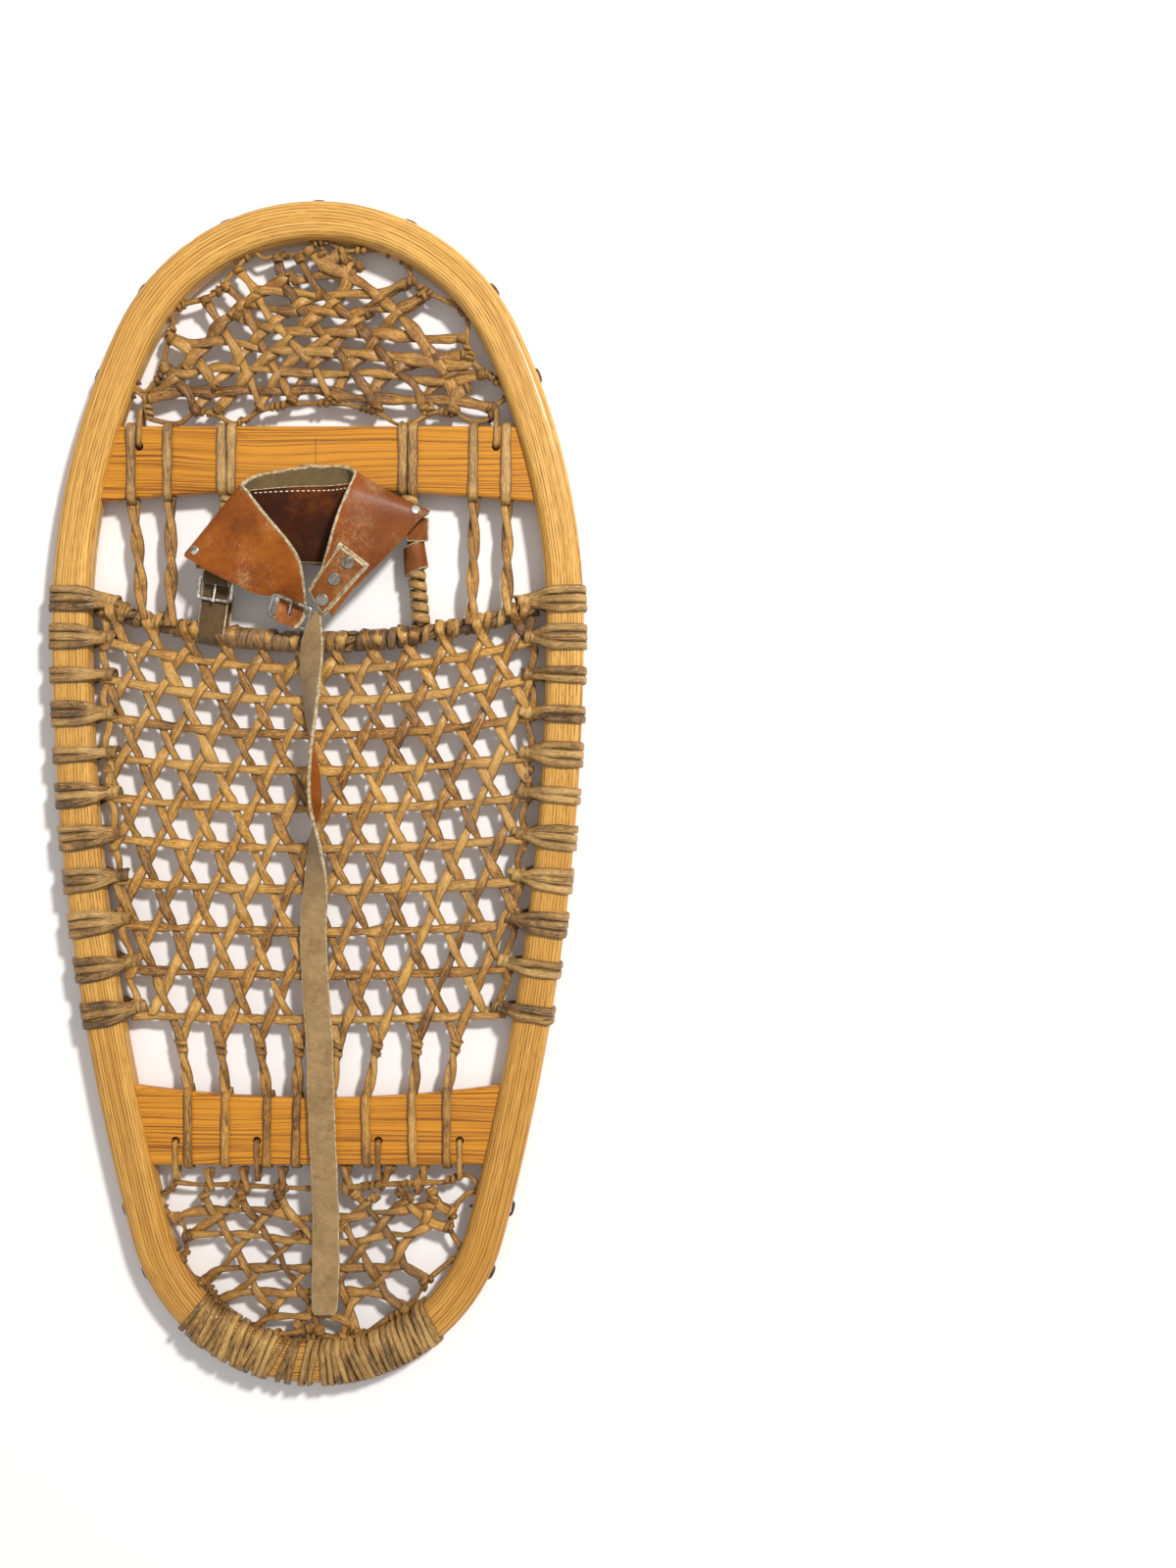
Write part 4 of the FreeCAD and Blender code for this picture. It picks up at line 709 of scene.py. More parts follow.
def rail_loop(thongs, middle, out, run, offset, knot):
    """A turn of thong round the rail that starts and ends at a knot inside it."""
    c = 1.15
    low = -HALF_THICK - c * 0.6
    section = [(-HALF_RAIL - knot, 0.8), (-HALF_RAIL - knot * 0.45, HALF_THICK * 0.62),
               (-HALF_RAIL + 2.6, HALF_THICK + c), (0, HALF_THICK + c), (HALF_RAIL - 3.4, HALF_THICK + c),
               (HALF_RAIL, HALF_THICK - 2.2), (HALF_RAIL + c, 3), (HALF_RAIL + c, -3),
               (HALF_RAIL, -HALF_THICK + 2.2), (HALF_RAIL - 3.4, low), (0, low), (-HALF_RAIL + 2.6, low),
               (-HALF_RAIL - knot * 0.45, -HALF_THICK * 0.62), (-HALF_RAIL - knot, -0.8)]
    lean = dice.uniform(-0.9, 0.9)
    points = []
    for k, (r, z) in enumerate(section):
        share = min(1.0, max(0.12, (r + HALF_RAIL + knot) / (knot + 5)))
        drift = lean * (k / (len(section) - 1) - 0.5) * 2
        points.append(middle + out * r + run * (offset * share + drift) + UP * z)
    thongs.add(points, 5.1, 2.0, across=run, step=3.0)


def make_rail_wraps():
    turns_of_row = {-1: (3, 3, 2, 3, 2, 3, 3, 3, 3, 3, 3), 1: (3, 3, 2, 2, 3, 2, 3, 3, 3, 2, 2)}
    for side, name in ((-1, "left"), (1, "right")):
        thongs = Thongs()
        for row, turns in enumerate(turns_of_row[side]):
            y = body_edge_y(row)
            middle, out, run = rail_at(y, side)
            knot = 10.0 if row else 14.0
            for k in range(turns):
                rail_loop(thongs, middle, out, run, (k - (turns - 1) / 2) * 5.4, knot)
            ends = [middle - out * (HALF_RAIL + knot + reach) for reach in (-4, 4)]
            thongs.coil(ends, 3.5, 4.2, 1.8, turns=2.4, start=dice.uniform(0, 6), ragged=0.22)
        thongs.finish(f"{name}_wraps", "wraps", "frame", f"{name}_rail_wraps")


def make_heel_lashing():
    thongs = Thongs()
    pitch = 4.2
    places = [-94 + k * pitch for k in range(14)] + [-35, -30, -22, -17, -8, -3] + [
        5 + k * pitch for k in range(20)]
    for distance in places:
        middle, out, run = rail_along(distance, False)
        c = dice.uniform(0.8, 1.6)
        lean = 2.2 * math.sin(distance * 0.06) + dice.uniform(-1.4, 1.4)
        top, low = HALF_THICK + c, -HALF_THICK - c * 0.7
        section = [(-HALF_RAIL + 3, top), (HALF_RAIL - 3, top), (HALF_RAIL, HALF_THICK - 2),
                   (HALF_RAIL + c, 2.5), (HALF_RAIL + c, -2.5), (HALF_RAIL, -HALF_THICK + 2),
                   (HALF_RAIL - 3, low), (-HALF_RAIL + 3, low), (-HALF_RAIL, -HALF_THICK + 2),
                   (-HALF_RAIL - c, -2.5), (-HALF_RAIL - c, 2.5), (-HALF_RAIL, HALF_THICK - 2)]
        points = [middle + out * r + run * (lean * r / HALF_RAIL) + UP * z for r, z in section]
        thongs.add(points + points[:1], dice.uniform(3.4, 4.6), 1.8, across=run, step=2.8, closed=True,
                   ragged=0.24)
    thongs.finish("heel_lashing_turns", "wraps", "frame", "heel_lashing")


make_body_net()
make_rail_wraps()
make_heel_lashing()


# Nets of the toe and heel: smaller, with their edges tied to thongs that zigzag through the rail

def bow_y(x, middle_y, edge_y):
    rise = middle_y - edge_y
    radius = (HALF_WIDTH ** 2 + rise ** 2) / (2 * abs(rise))
    drop = radius - math.sqrt(radius ** 2 - min(abs(x), HALF_WIDTH) ** 2)
    return middle_y - math.copysign(drop, rise)


# Crossbars: y of the straight edge, width at the waist and at the ends, and the way that edge faces
TOE_BAR, HEEL_BAR, HALF_BAR = (227.0, 39.5, 47.0, 1), (-231.4, 41.4, 49.4, -1), 4.5
# Nets' edges along the bars: y in the middle and at the rails
TOE_MOUTH, HEEL_MOUTH = (237.92, 225.32), (-236.32, -233.32)


# The end nets' own strands as x, y: the edge thong, the rows, and the strands that fall or rise to
# the right
TOE_EDGE = (
    (-105, 232), (-108, 244), (-116, 250), (-120, 245), (-116, 253), (-108, 249), (-100, 257),
    (-97, 265), (-95, 274), (-93, 283), (-90, 294), (-94, 293), (-87, 302), (-71, 307), (-63, 311),
    (-59, 316), (-51, 326), (-41, 336), (-34, 332), (-26, 334), (-15, 334), (-7, 337), (3, 343),
    (16, 337), (27, 337), (47, 337), (51, 334), (56, 326), (60, 317), (67, 311), (80, 305), (89, 300),
    (93, 290), (92, 282), (93, 273), (98, 266), (104, 261), (112, 254), (118, 246), (112, 242),
    (110, 238), (104, 231), (94, 231), (85, 235), (70, 236), (58, 229), (48, 229), (37, 236), (23, 240),
    (8, 242), (-17, 241), (-37, 237), (-52, 229), (-65, 235), (-77, 236), (-88, 229),
)
TOE_ROWS = (
    ((-108, 244), (-88, 249), (-66, 249), (-41, 250), (-26, 249), (-1, 250), (14, 246), (30, 245),
     (58, 244), (76, 244), (94, 242), (110, 238)),
    ((-97, 265), (-83, 260), (-65, 264), (-48, 263), (-34, 263), (-12, 261), (14, 260), (32, 261),
     (54, 258), (80, 255), (104, 260)),
    ((-93, 282), (-76, 279), (-55, 281), (-37, 276), (-8, 274), (18, 273), (47, 271), (72, 267),
     (91, 266), (94, 273)),
    ((-52, 297), (-41, 292), (-26, 288), (-1, 286), (21, 286), (43, 285), (63, 282), (92, 282)),
    ((-45, 304), (-19, 299), (-3, 300), (18, 297), (32, 300), (54, 302), (67, 310)),
    ((-40, 312), (-15, 311), (-1, 308), (8, 309), (21, 310), (38, 310), (50, 315), (60, 318)),
    ((-17, 318), (-8, 319), (3, 322), (16, 320), (27, 328)),
    ((1, 326), (8, 329), (18, 333)),
)
TOE_FALLING = (
    ((-93, 283), (-79, 274), (-70, 261), (-63, 250)),
    ((-71, 307), (-65, 297), (-57, 284), (-48, 268), (-41, 253), (-36, 238)),
    ((-59, 316), (-48, 305), (-41, 290), (-32, 272), (-23, 257), (-17, 242)),
    ((-51, 326), (-41, 314), (-32, 297), (-19, 283), (-4, 266), (3, 252), (8, 242)),
    ((-26, 334), (-23, 321), (-15, 306), (-4, 292), (8, 279), (19, 264), (30, 250), (37, 237)),
    ((-13, 334), (-4, 317), (8, 305), (23, 292), (36, 277), (47, 263), (60, 252), (67, 236)),
    ((-7, 337), (5, 327), (18, 321), (30, 314), (50, 297), (60, 286), (70, 272), (81, 257), (85, 235)),
    ((-97, 265), (-88, 255), (-81, 248), (-77, 236)),
    ((16, 337), (7, 331), (1, 336)),
)
TOE_RISING = (
    ((-53, 299), (-65, 286), (-76, 274), (-88, 259), (-108, 244)),
    ((-15, 322), (-30, 314), (-45, 305), (-57, 294), (-70, 279), (-83, 263)),
    ((3, 310), (-8, 306), (-24, 295), (-37, 284), (-50, 268), (-66, 253), (-77, 236)),
    ((18, 333), (18, 317), (10, 306), (-3, 295), (-17, 284), (-30, 272), (-45, 259), (-64, 236)),
    ((32, 299), (18, 290), (3, 281), (-12, 272), (-26, 259), (-37, 237)),
    ((56, 317), (39, 308), (21, 292), (8, 275), (-8, 261), (-17, 242)),
    ((67, 310), (49, 297), (41, 288), (30, 275), (18, 263), (8, 242)),
    ((93, 273), (76, 269), (60, 268), (49, 263), (36, 253), (37, 236)),
    ((104, 260), (87, 261), (72, 253), (67, 246), (70, 236)),
    ((94, 253), (85, 246), (83, 235)),
)
HEEL_EDGE = (
    (-88, -243), (-94, -249), (-99, -252), (-93, -262), (-84, -269), (-83, -276), (-82, -286),
    (-85, -291), (-79, -300), (-70, -305), (-66, -311), (-57, -322), (-45, -334), (-35, -340),
    (-24, -343), (-12, -342), (1, -338), (14, -340), (27, -337), (39, -330), (52, -322), (60, -316),
    (63, -311), (69, -303), (83, -291), (90, -286), (85, -278), (82, -271), (84, -262), (87, -255),
    (94, -249), (103, -249), (100, -245), (92, -238), (80, -242), (65, -243), (47, -244), (32, -245),
    (18, -246), (-6, -247), (-19, -246), (-41, -245), (-63, -244), (-77, -244),
)
HEEL_ROWS = (
    ((-90, -265), (-77, -261), (-63, -260), (-41, -260), (-26, -261), (-15, -265), (-6, -265),
     (16, -265), (36, -262), (54, -260), (70, -257), (85, -261)),
    ((-83, -277), (-76, -275), (-55, -275), (-41, -276), (-26, -278), (-12, -279), (3, -280), (21, -280),
     (39, -276), (56, -275), (70, -270), (83, -271)),
    ((-72, -305), (-63, -297), (-48, -296), (-30, -296), (-12, -296), (3, -296), (21, -296), (39, -296),
     (56, -296), (68, -305)),
    ((-65, -317), (-52, -312), (-34, -311), (-15, -312), (-1, -311), (18, -311), (36, -312), (54, -321)),
    ((-41, -335), (-34, -328), (-19, -326), (-4, -326), (14, -327), (23, -336)),
    ((-28, -337), (-15, -336), (-4, -333)),
)
HEEL_FALLING = (
    ((-72, -249), (-66, -260), (-59, -271), (-52, -284), (-45, -296), (-41, -306), (-34, -317),
     (-27, -324)),
    ((-50, -249), (-45, -258), (-37, -269), (-28, -282), (-21, -295), (-14, -306), (-6, -318), (1, -336)),
    ((-26, -249), (-19, -260), (-8, -273), (1, -282), (10, -298), (16, -313), (21, -328), (24, -338)),
    ((21, -249), (30, -258), (39, -269), (47, -280), (54, -295), (68, -305)),
    ((14, -267), (21, -278), (28, -289), (36, -302), (45, -315), (55, -322)),
    ((49, -247), (58, -258), (69, -267), (83, -271)),
    ((69, -247), (76, -257), (85, -262)),
)
HEEL_RISING = (
    ((-50, -253), (-55, -259), (-65, -266), (-83, -277)),
    ((-26, -256), (-34, -265), (-43, -276), (-52, -286), (-59, -295), (-71, -305)),
    ((-12, -275), (-19, -282), (-30, -291), (-37, -298), (-46, -307), (-63, -318)),
    ((36, -251), (25, -260), (14, -271), (-4, -293), (-15, -306), (-24, -317), (-34, -328), (-42, -338)),
    ((58, -251), (49, -258), (41, -267), (32, -278), (21, -291), (12, -304), (1, -317), (-14, -332)),
    ((72, -251), (65, -269), (54, -280), (47, -293), (36, -306), (21, -318), (15, -340)),
)
HEEL_KNOTS = (
    ((-68, -234), (-68, -248)),
    ((-47, -233), (-46, -251)),
    ((-22, -233), (-24, -251)),
    ((17, -232), (18, -250)),
    ((46, -232), (37, -247)),
    ((67, -229), (61, -250)),
)


def nearest(p, lines):
    return min(((p - q).length for line in lines for q in line), default=99.0)


def flat_lines(lines):
    return [smooth_path([Vector((x, y, 0)) for x, y in line], 2.0) for line in lines]


def woven(lines, over, under, layer):
    """Lifts lines over one set of their neighbours and lowers them under the other set."""
    result = []
    for line in lines:
        lifted = []
        for p in line:
            up, down = 1 / (nearest(p, over) ** 2 + 2), 1 / (nearest(p, under) ** 2 + 2)
            lifted.append(p + UP * (layer * (up - down) / (up + down)))
        result.append(lifted)
    return result


def make_end_net(prefix, edge, rows, falling, rising, width, knots=()):
    rows, falling, rising = flat_lines(rows), flat_lines(falling), flat_lines(rising)
    layer = 1.6
    sets = (
        (f"{prefix}_rows", woven(rows, rising, falling, layer * 0.7), f"{prefix}_net_rows"),
        (f"{prefix}_right_lean", woven(falling, rows, rising, layer), f"{prefix}_net_right_diagonals"),
        (f"{prefix}_left_lean", woven(rising, falling, rows, layer), f"{prefix}_net_left_diagonals"),
    )
    for name, lines, node in sets:
        thongs = Thongs(0.5)
        for line in lines:
            thongs.add(line, width * dice.uniform(0.85, 1.25), 1.7, step=2.2, ragged=0.3, roll=-4)
            for end, before in ((line[0], line[2]), (line[-1], line[-3])):
                thongs.coil([end, end + (before - end).normalized() * 4.0], 2.7, 3.2, 1.6,
                            turns=dice.choice((1.3, 1.8, 2.2)), start=dice.uniform(0, 6), ragged=0.24)
        thongs.finish(name, "toe_lacing", "frame", node)
    thongs = Thongs(0.6)
    line = [Vector((x, y, 0)) for x, y in edge]
    thongs.add(line + line[:1], 3.0, 2.4, step=2.2, closed=True, ragged=0.24)
    line = smooth_path(line, 3.0)
    for k in range(0, len(line) - 4, 9):
        thongs.coil(line[k:k + 4], 2.3, 2.8, 1.4, turns=dice.choice((1.4, 2.1, 2.6)),
                    start=dice.uniform(0, 6), ragged=0.24)
    for ends in knots:
        top, foot = (Vector((x, y, 0)) for x, y in ends)
        twisted(thongs, [top, top.lerp(foot, 0.5), foot], 1.5, 2, 4.4, 2.0, 26)
    thongs.finish(f"{prefix}_edge", "toe_lacing", "frame", f"{prefix}_selvage")


def twisted(thongs, points, radius, strands, width, thickness, pitch):
    """Strands laid round each other along a line."""
    path = smooth_path(points, 3.0)
    lengths = running_lengths(path)
    for strand in range(strands):
        line = []
        for k, p in enumerate(path):
            run = (path[min(k + 1, len(path) - 1)] - path[max(k - 1, 0)]).normalized()
            flat = run.cross(UP).normalized()
            angle = 2 * math.pi * (lengths[k] / pitch + strand / strands)
            line.append(p + (flat * math.cos(angle) + flat.cross(run) * math.sin(angle)) * radius)
        thongs.add(line, width, thickness, step=2.2)


make_end_net("toe", TOE_EDGE, TOE_ROWS, TOE_FALLING, TOE_RISING, 5.9)
make_end_net("heel", HEEL_EDGE, HEEL_ROWS, HEEL_FALLING, HEEL_RISING, 4.5, HEEL_KNOTS)


def make_stitches():
    thongs = Thongs(0.1)
    for distance, from_toe in [(s, True) for s in (0, 59, -59, 126, -126, 186, -186)] + [
            (s, False) for s in (133.5, -133.5, 175, -175)]:
        middle, out, run = rail_along(distance, from_toe)
        points = [(-4.5, -HALF_RAIL - 2), (-4.5, HALF_RAIL - 0.5), (-3.2, HALF_RAIL + 0.9),
                  (0, HALF_RAIL + 1.2), (3.2, HALF_RAIL + 0.9), (4.5, HALF_RAIL - 0.5),
                  (4.5, -HALF_RAIL - 2)]
        thongs.add([middle + run * a + out * r for a, r in points], 4.4, 1.7, across=UP, step=1.6)
    thongs.finish("outer_stitches", "dark", "frame", "rail_stitches")


make_stitches()


# Cords round the toe hole

def cord_line(x0, x1, parts):
    """Points along the toe cord's middle line."""
    return [Vector((x, cord_y(x), 0)) for x in [x0 + (x1 - x0) * k / parts for k in range(parts + 1)]]


def make_toe_cord():
    core = Thongs()
    twisted(core, cord_line(-136, 136, 24), 2.6, 3, 5.2, 4.0, 60)
    for x0, x1 in ((64, 92), (96, 122), (-92, -70), (-128, -100)):
        core.coil(cord_line(x0, x1, 4), 5.2, 4.6, 1.6, pitch=11.0, start=dice.uniform(0, 6))
    core.finish("toe_cord_strands", "wraps", "frame", "toe_cord")
    serving = Thongs()
    for x0, x1, pitch in ((-62, -24, 5.2), (-21, 18, 5.4), (21, 60, 6.2)):
        serving.coil(cord_line(x0, x1, 6), 5.7, 6.0, 2.6, pitch=pitch, start=dice.uniform(0, 6),
                     ragged=0.24)
    serving.finish("toe_cord_turns", "dark", "frame", "toe_cord_serving")


def side_cord_line(side):
    top = Vector((side * 56.0, 184.0, 0))
    foot = Vector((side * 64.0, cord_y(64.0) + 5.5, 0))
    return top, foot


def make_side_cords():
    servings = Thongs()
    for side, name in ((-1, "left"), (1, "right")):
        cord = Thongs()
        top, foot = side_cord_line(side)
        twisted(cord, [top, top.lerp(foot, 0.5), foot], 1.9, 2, 5.0, 3.2, 46)
        cord.finish(f"{name}_cord_strands", "wraps", "frame", f"{name}_side_cord")
        servings.coil([top + Vector((0, -1, 0)), top.lerp(foot, 0.2)], 4.6, 4.6, 1.7, turns=3.2)
        low, high = (0.5, 1.0) if side > 0 else (0.72, 1.0)
        servings.coil([top.lerp(foot, low), top.lerp(foot, high)], 4.9, 5.6, 1.9, pitch=6.4)
    servings.finish("side_cord_turns", "wraps", "frame", "side_cord_servings")


def bar_rear(x, bar):
    """y of a crossbar's waisted edge."""
    straight, waist, shoulder, way = bar
    end = half_x(straight, RAIL_WIDTH)
    return straight - way * (waist + (shoulder - waist) * min(1.0, abs(x) / end) ** 2)


def bar_loop(thongs, x, bar, width, spread):
    """A turn of thong round a crossbar; spread moves its rear end sideways."""
    front_y, way, rear_y = bar[0], bar[3], bar_rear(x, bar)
    c = HALF_BAR + 1.0
    points = [Vector((x + aside, y, z)) for aside, y, z in (
        (0, front_y + 1.2 * way, 0), (0, front_y - way, c), (spread * 0.5, (front_y + rear_y) / 2, c),
        (spread, rear_y + way, c), (spread, rear_y - 1.2 * way, 0), (spread, rear_y + way, -c),
        (0, front_y - way, -c))]
    thongs.add(points + points[:1], width, 1.7, across=Vector((1, 0, 0)), step=3.2, closed=True)


TOE_LOOPS = (-59.3, -53.0, 53.0, 59.3, -115.5, -92.6, 96.8, 117.0)
FORE_FEET = (-108.0, -90.7, 95.6, 117.5)
HEEL_LOOPS = (-80.0, -57.2, -31.7, -13.4, 8.0, 30.5, 59.1, 80.0)


def make_bar_thongs():
    loops = Thongs(0.2)
    for x in TOE_LOOPS:
        bar_loop(loops, x, TOE_BAR, 6.2, dice.uniform(-0.6, 0.6))
    loops.finish("toe_bar_turns", "wraps", "frame", "toe_bar_loops")
    fore = Thongs()
    for x, foot in zip(TOE_LOOPS[4:], FORE_FEET):
        head = Vector((x, bar_rear(x, TOE_BAR) + 1.0, 0))
        end = Vector((foot, cord_y(foot), CORD_RADIUS + 1.5))
        middle = head.lerp(end, 0.5)
        middle.z = 0.5
        twisted(fore, [head, middle, end], 1.6, 2, 5.0, 2.3, 52)
    fore.finish("fore_pairs", "lacing", "frame", "fore_thongs")
    loops = Thongs(0.2)
    for x in HEEL_LOOPS:
        bar_loop(loops, x, HEEL_BAR, 5.4, dice.uniform(-1, 1))
    loops.finish("heel_bar_turns", "lacing", "frame", "heel_bar_loops")
    aft = Thongs()
    for x, join in zip(HEEL_LOOPS, JOINS):
        end = Vector((x, bar_rear(x, HEEL_BAR) - 1.0, 1.5))
        twisted(aft, [join, join.lerp(end, 0.5), end], 1.5, 2, 4.2, 1.9, 44)
        aft.coil([join.lerp(end, 0.02), join.lerp(end, 0.22)], 3.0, 3.2, 1.4, turns=1.5)
    aft.finish("aft_pairs", "lacing", "frame", "aft_thongs")


def make_bar_ties():
    for prefix, holes, mouth, way in (
            ("toe", [(-110.5, 214.0), (110.5, 214.0)], TOE_MOUTH, 1),
            ("heel", [(x, -216.0) for x in (-88.0, -37.6, 37.6, 88.0)], HEEL_MOUTH, -1)):
        ties = Thongs(0.1)
        for x, y in holes:
            far = bow_y(x, *mouth) + way * 4.5
            c = HALF_BAR + 1.0
            points = [Vector((x, at, z)) for at, z in (
                (y, 0), (y + way * 0.8, c - 0.8), (y + way * 4, c), (far - way * 3, 3.4), (far + way, 0),
                (far - way * 3, -3.4), (y + way * 4, -c), (y + way * 0.8, -c + 0.8))]
            ties.add(points + points[:1], 3.4, 1.5, across=Vector((1, 0, 0)), step=2.0, closed=True)
        ties.finish(f"{prefix}_ties", "lacing", "frame", f"{prefix}_bar_ties")


make_toe_cord()
make_side_cords()
make_bar_thongs()
make_bar_ties()


# Binding leather: points are x, distance ahead of the hinge line and height above the crossbars

HINGE_Y = 131.85
COLLAR_INNER = (
    (-12.3, -31.4, 9.9), (-7.7, -25.5, 9.5), (-6.5, -14.5, 9.3), (-8, 6, 17.1), (-14, 19, 22.1),
    (-29, 37, 23.1), (-39, 50, 19.1), (-44, 56, 12.1), (-38, 62, 5.6), (-26, 65, 3.6), (-8, 68, 3.4),
    (8, 68.5, 3.7), (18, 68, 5.6), (25, 64, 12.1), (25, 58, 18.1), (22, 50, 22.1), (16, 34, 24.1),
    (10, 15, 22.1), (5, 1, 17.0), (1.5, -7, 12.0),
)
COLLAR_OUTER = (
    (-24.3, -26.6, 9.9), (-23.5, -19.1, 9.5), (-22.5, -12.0, 9.3), (-36, -10, 10.1), (-49, -4, 13.6),
    (-64, 3, 13.6), (-75, 10, 10.6), (-80, 13, 6.4), (-75, 17, 3.6), (-45, 15, 3.4), (-16, 9, 3.2),
    (14, 9, 3.2), (42, 19, 3.4), (64, 36, 4.1), (70, 40, 7.3), (65, 36, 10.6), (54, 23, 12.1),
    (41, 9, 13.6), (24, -8, 13.0), (10.5, -24, 9.8),
)
# Riveted tab over the collar's corner: x, y and height above the net plane
TAB_INNER = ((17.2, 149.5, 28.2), (11.8, 142.5, 26.4), (6.5, 135.5, 24.0), (1.6, 129.0, 21.4),
             (-3.0, 122.5, 19.2))
TAB_OUTER = ((33.0, 137.5, 23.2), (26.0, 130.5, 21.8), (19.0, 123.0, 20.4), (12.0, 115.5, 18.6),
             (5.0, 108.0, 17.4))


def deselect():
    bpy.ops.object.select_all(action="DESELECT")


def only(piece):
    deselect()
    piece.select_set(True)
    bpy.context.view_layer.objects.active = piece


def apply_modifier(piece, kind, **settings):
    only(piece)
    modifier = piece.modifiers.new(kind.lower(), kind)
    for key, value in settings.items():
        setattr(modifier, key, value)
    bpy.ops.object.modifier_apply(modifier=modifier.name)


class Sheet:
    """Leather between two edge lines: a flat grid bent into shape, then given its thickness."""

    def __init__(self, left, right, thickness, across=8):
        self.grid = [[a.lerp(b, k / across) for k in range(across + 1)] for a, b in zip(left, right)]
        self.thickness = thickness
        rows, columns = len(self.grid), across + 1
        self.normals = []
        for i in range(rows):
            line = []
            for k in range(columns):
                du = self.grid[min(i + 1, rows - 1)][k] - self.grid[max(i - 1, 0)][k]
                dv = self.grid[i][min(k + 1, columns - 1)] - self.grid[i][max(k - 1, 0)]
                line.append(dv.cross(du).normalized())
            self.normals.append(line)

    def at(self, along, across, lift=0.0):
        """Point and normal at shares of the length and width."""
        i = min(int(along * (len(self.grid) - 1)), len(self.grid) - 2)
        k = min(int(across * (len(self.grid[0]) - 1)), len(self.grid[0]) - 2)
        t, s = along * (len(self.grid) - 1) - i, across * (len(self.grid[0]) - 1) - k
        a = self.grid[i][k].lerp(self.grid[i + 1][k], t)
        b = self.grid[i][k + 1].lerp(self.grid[i + 1][k + 1], t)
        normal = self.normals[i][k]
        return a.lerp(b, s) + normal * lift, normal

    def piece(self, name, finishes, body, *nodes, pared=0.8):
        """finishes: the skin on the normal's side, the cut edge and the other skin."""
        rows, columns = len(self.grid), len(self.grid[0])
        deselect()
        bpy.ops.mesh.primitive_grid_add(x_subdivisions=columns - 1, y_subdivisions=rows - 1, size=1)
        piece = bpy.context.object
        piece.name = piece.data.name = name
        for vertex in piece.data.vertices:
            k = round((vertex.co.x + 0.5) * (columns - 1))
            i = round((vertex.co.y + 0.5) * (rows - 1))
            vertex.co = (self.grid[i][k] + UP * NET_PLANE) * METRE
        dress(piece, finishes, body, nodes)
        apply_modifier(piece, "SOLIDIFY", thickness=self.thickness * METRE, offset=0.0,
                       material_offset=2, material_offset_rim=1)
        apply_modifier(piece, "BEVEL", width=pared * METRE, segments=3, limit_method="ANGLE",
                       angle_limit=math.radians(50), material=1, use_clamp_overlap=True)
        only(piece)
        bpy.ops.object.shade_smooth_by_angle(angle=math.radians(50))
        return piece


COLLAR_STATIONS, COLLAR_STEPS = len(COLLAR_INNER) - 1, 6
collar_inner, collar_outer = (smooth_path(
    [Vector((x, HINGE_Y + ahead, HALF_BAR + above)) for x, ahead, above in line], count=COLLAR_STEPS)
    for line in (COLLAR_INNER, COLLAR_OUTER))
collar = Sheet(collar_inner, collar_outer, 2.6, across=10)


def lining_sheet(first, last, near, far, lift, thickness):
    """A sheet over part of the collar, between two of its stations and shares of its width."""
    left, right = [], []
    for k in range(int(first * COLLAR_STEPS), int(last * COLLAR_STEPS) + 1):
        along = k / (COLLAR_STATIONS * COLLAR_STEPS)
        left.append(collar.at(along, near, lift)[0])
        right.append(collar.at(along, far, lift)[0])
    return Sheet(left, right, thickness)


def tab_sheet(inner_shift, outer_shift, thickness):
    sides = [smooth_path([Vector(p) + Vector(shift) for p in line], count=3)
             for line, shift in ((TAB_INNER, inner_shift), (TAB_OUTER, outer_shift))]
    return Sheet(*sides, thickness, across=6)


def rivet_piece(name, spots, radius, height, finish, node):
    """Domed rivet heads: one is turned and rounded, then copied to each point, against its normal."""
    deselect()
    bpy.ops.mesh.primitive_cylinder_add(vertices=24, radius=radius * METRE, depth=height * METRE)
    piece = bpy.context.object
    bpy.ops.object.mode_set(mode="EDIT")
    bpy.ops.mesh.select_all(action="DESELECT")
    shape = bmesh.from_edit_mesh(piece.data)
    for face in shape.faces:
        face.select = face.normal.z > 0.9
    bmesh.update_edit_mesh(piece.data)
    bpy.ops.mesh.bevel(offset=height * 0.55 * METRE, segments=4, affect="EDGES")
    bpy.ops.object.mode_set(mode="OBJECT")
    heads = [piece] + [bpy.data.objects.new(name, piece.data.copy()) for _ in spots[1:]]
    for head, (point, normal) in zip(heads, spots):
        turn = UP.rotation_difference(-normal).to_matrix().to_4x4()
        head.data.transform(Matrix.Translation((point + UP * NET_PLANE) * METRE) @ turn)
        if head != piece:
            bpy.context.collection.objects.link(head)
        head.select_set(True)
    bpy.ops.object.join()
    piece.name = piece.data.name = name
    bpy.ops.object.shade_smooth_by_angle(angle=math.radians(60))
    dress(piece, [finish], "binding", [node])


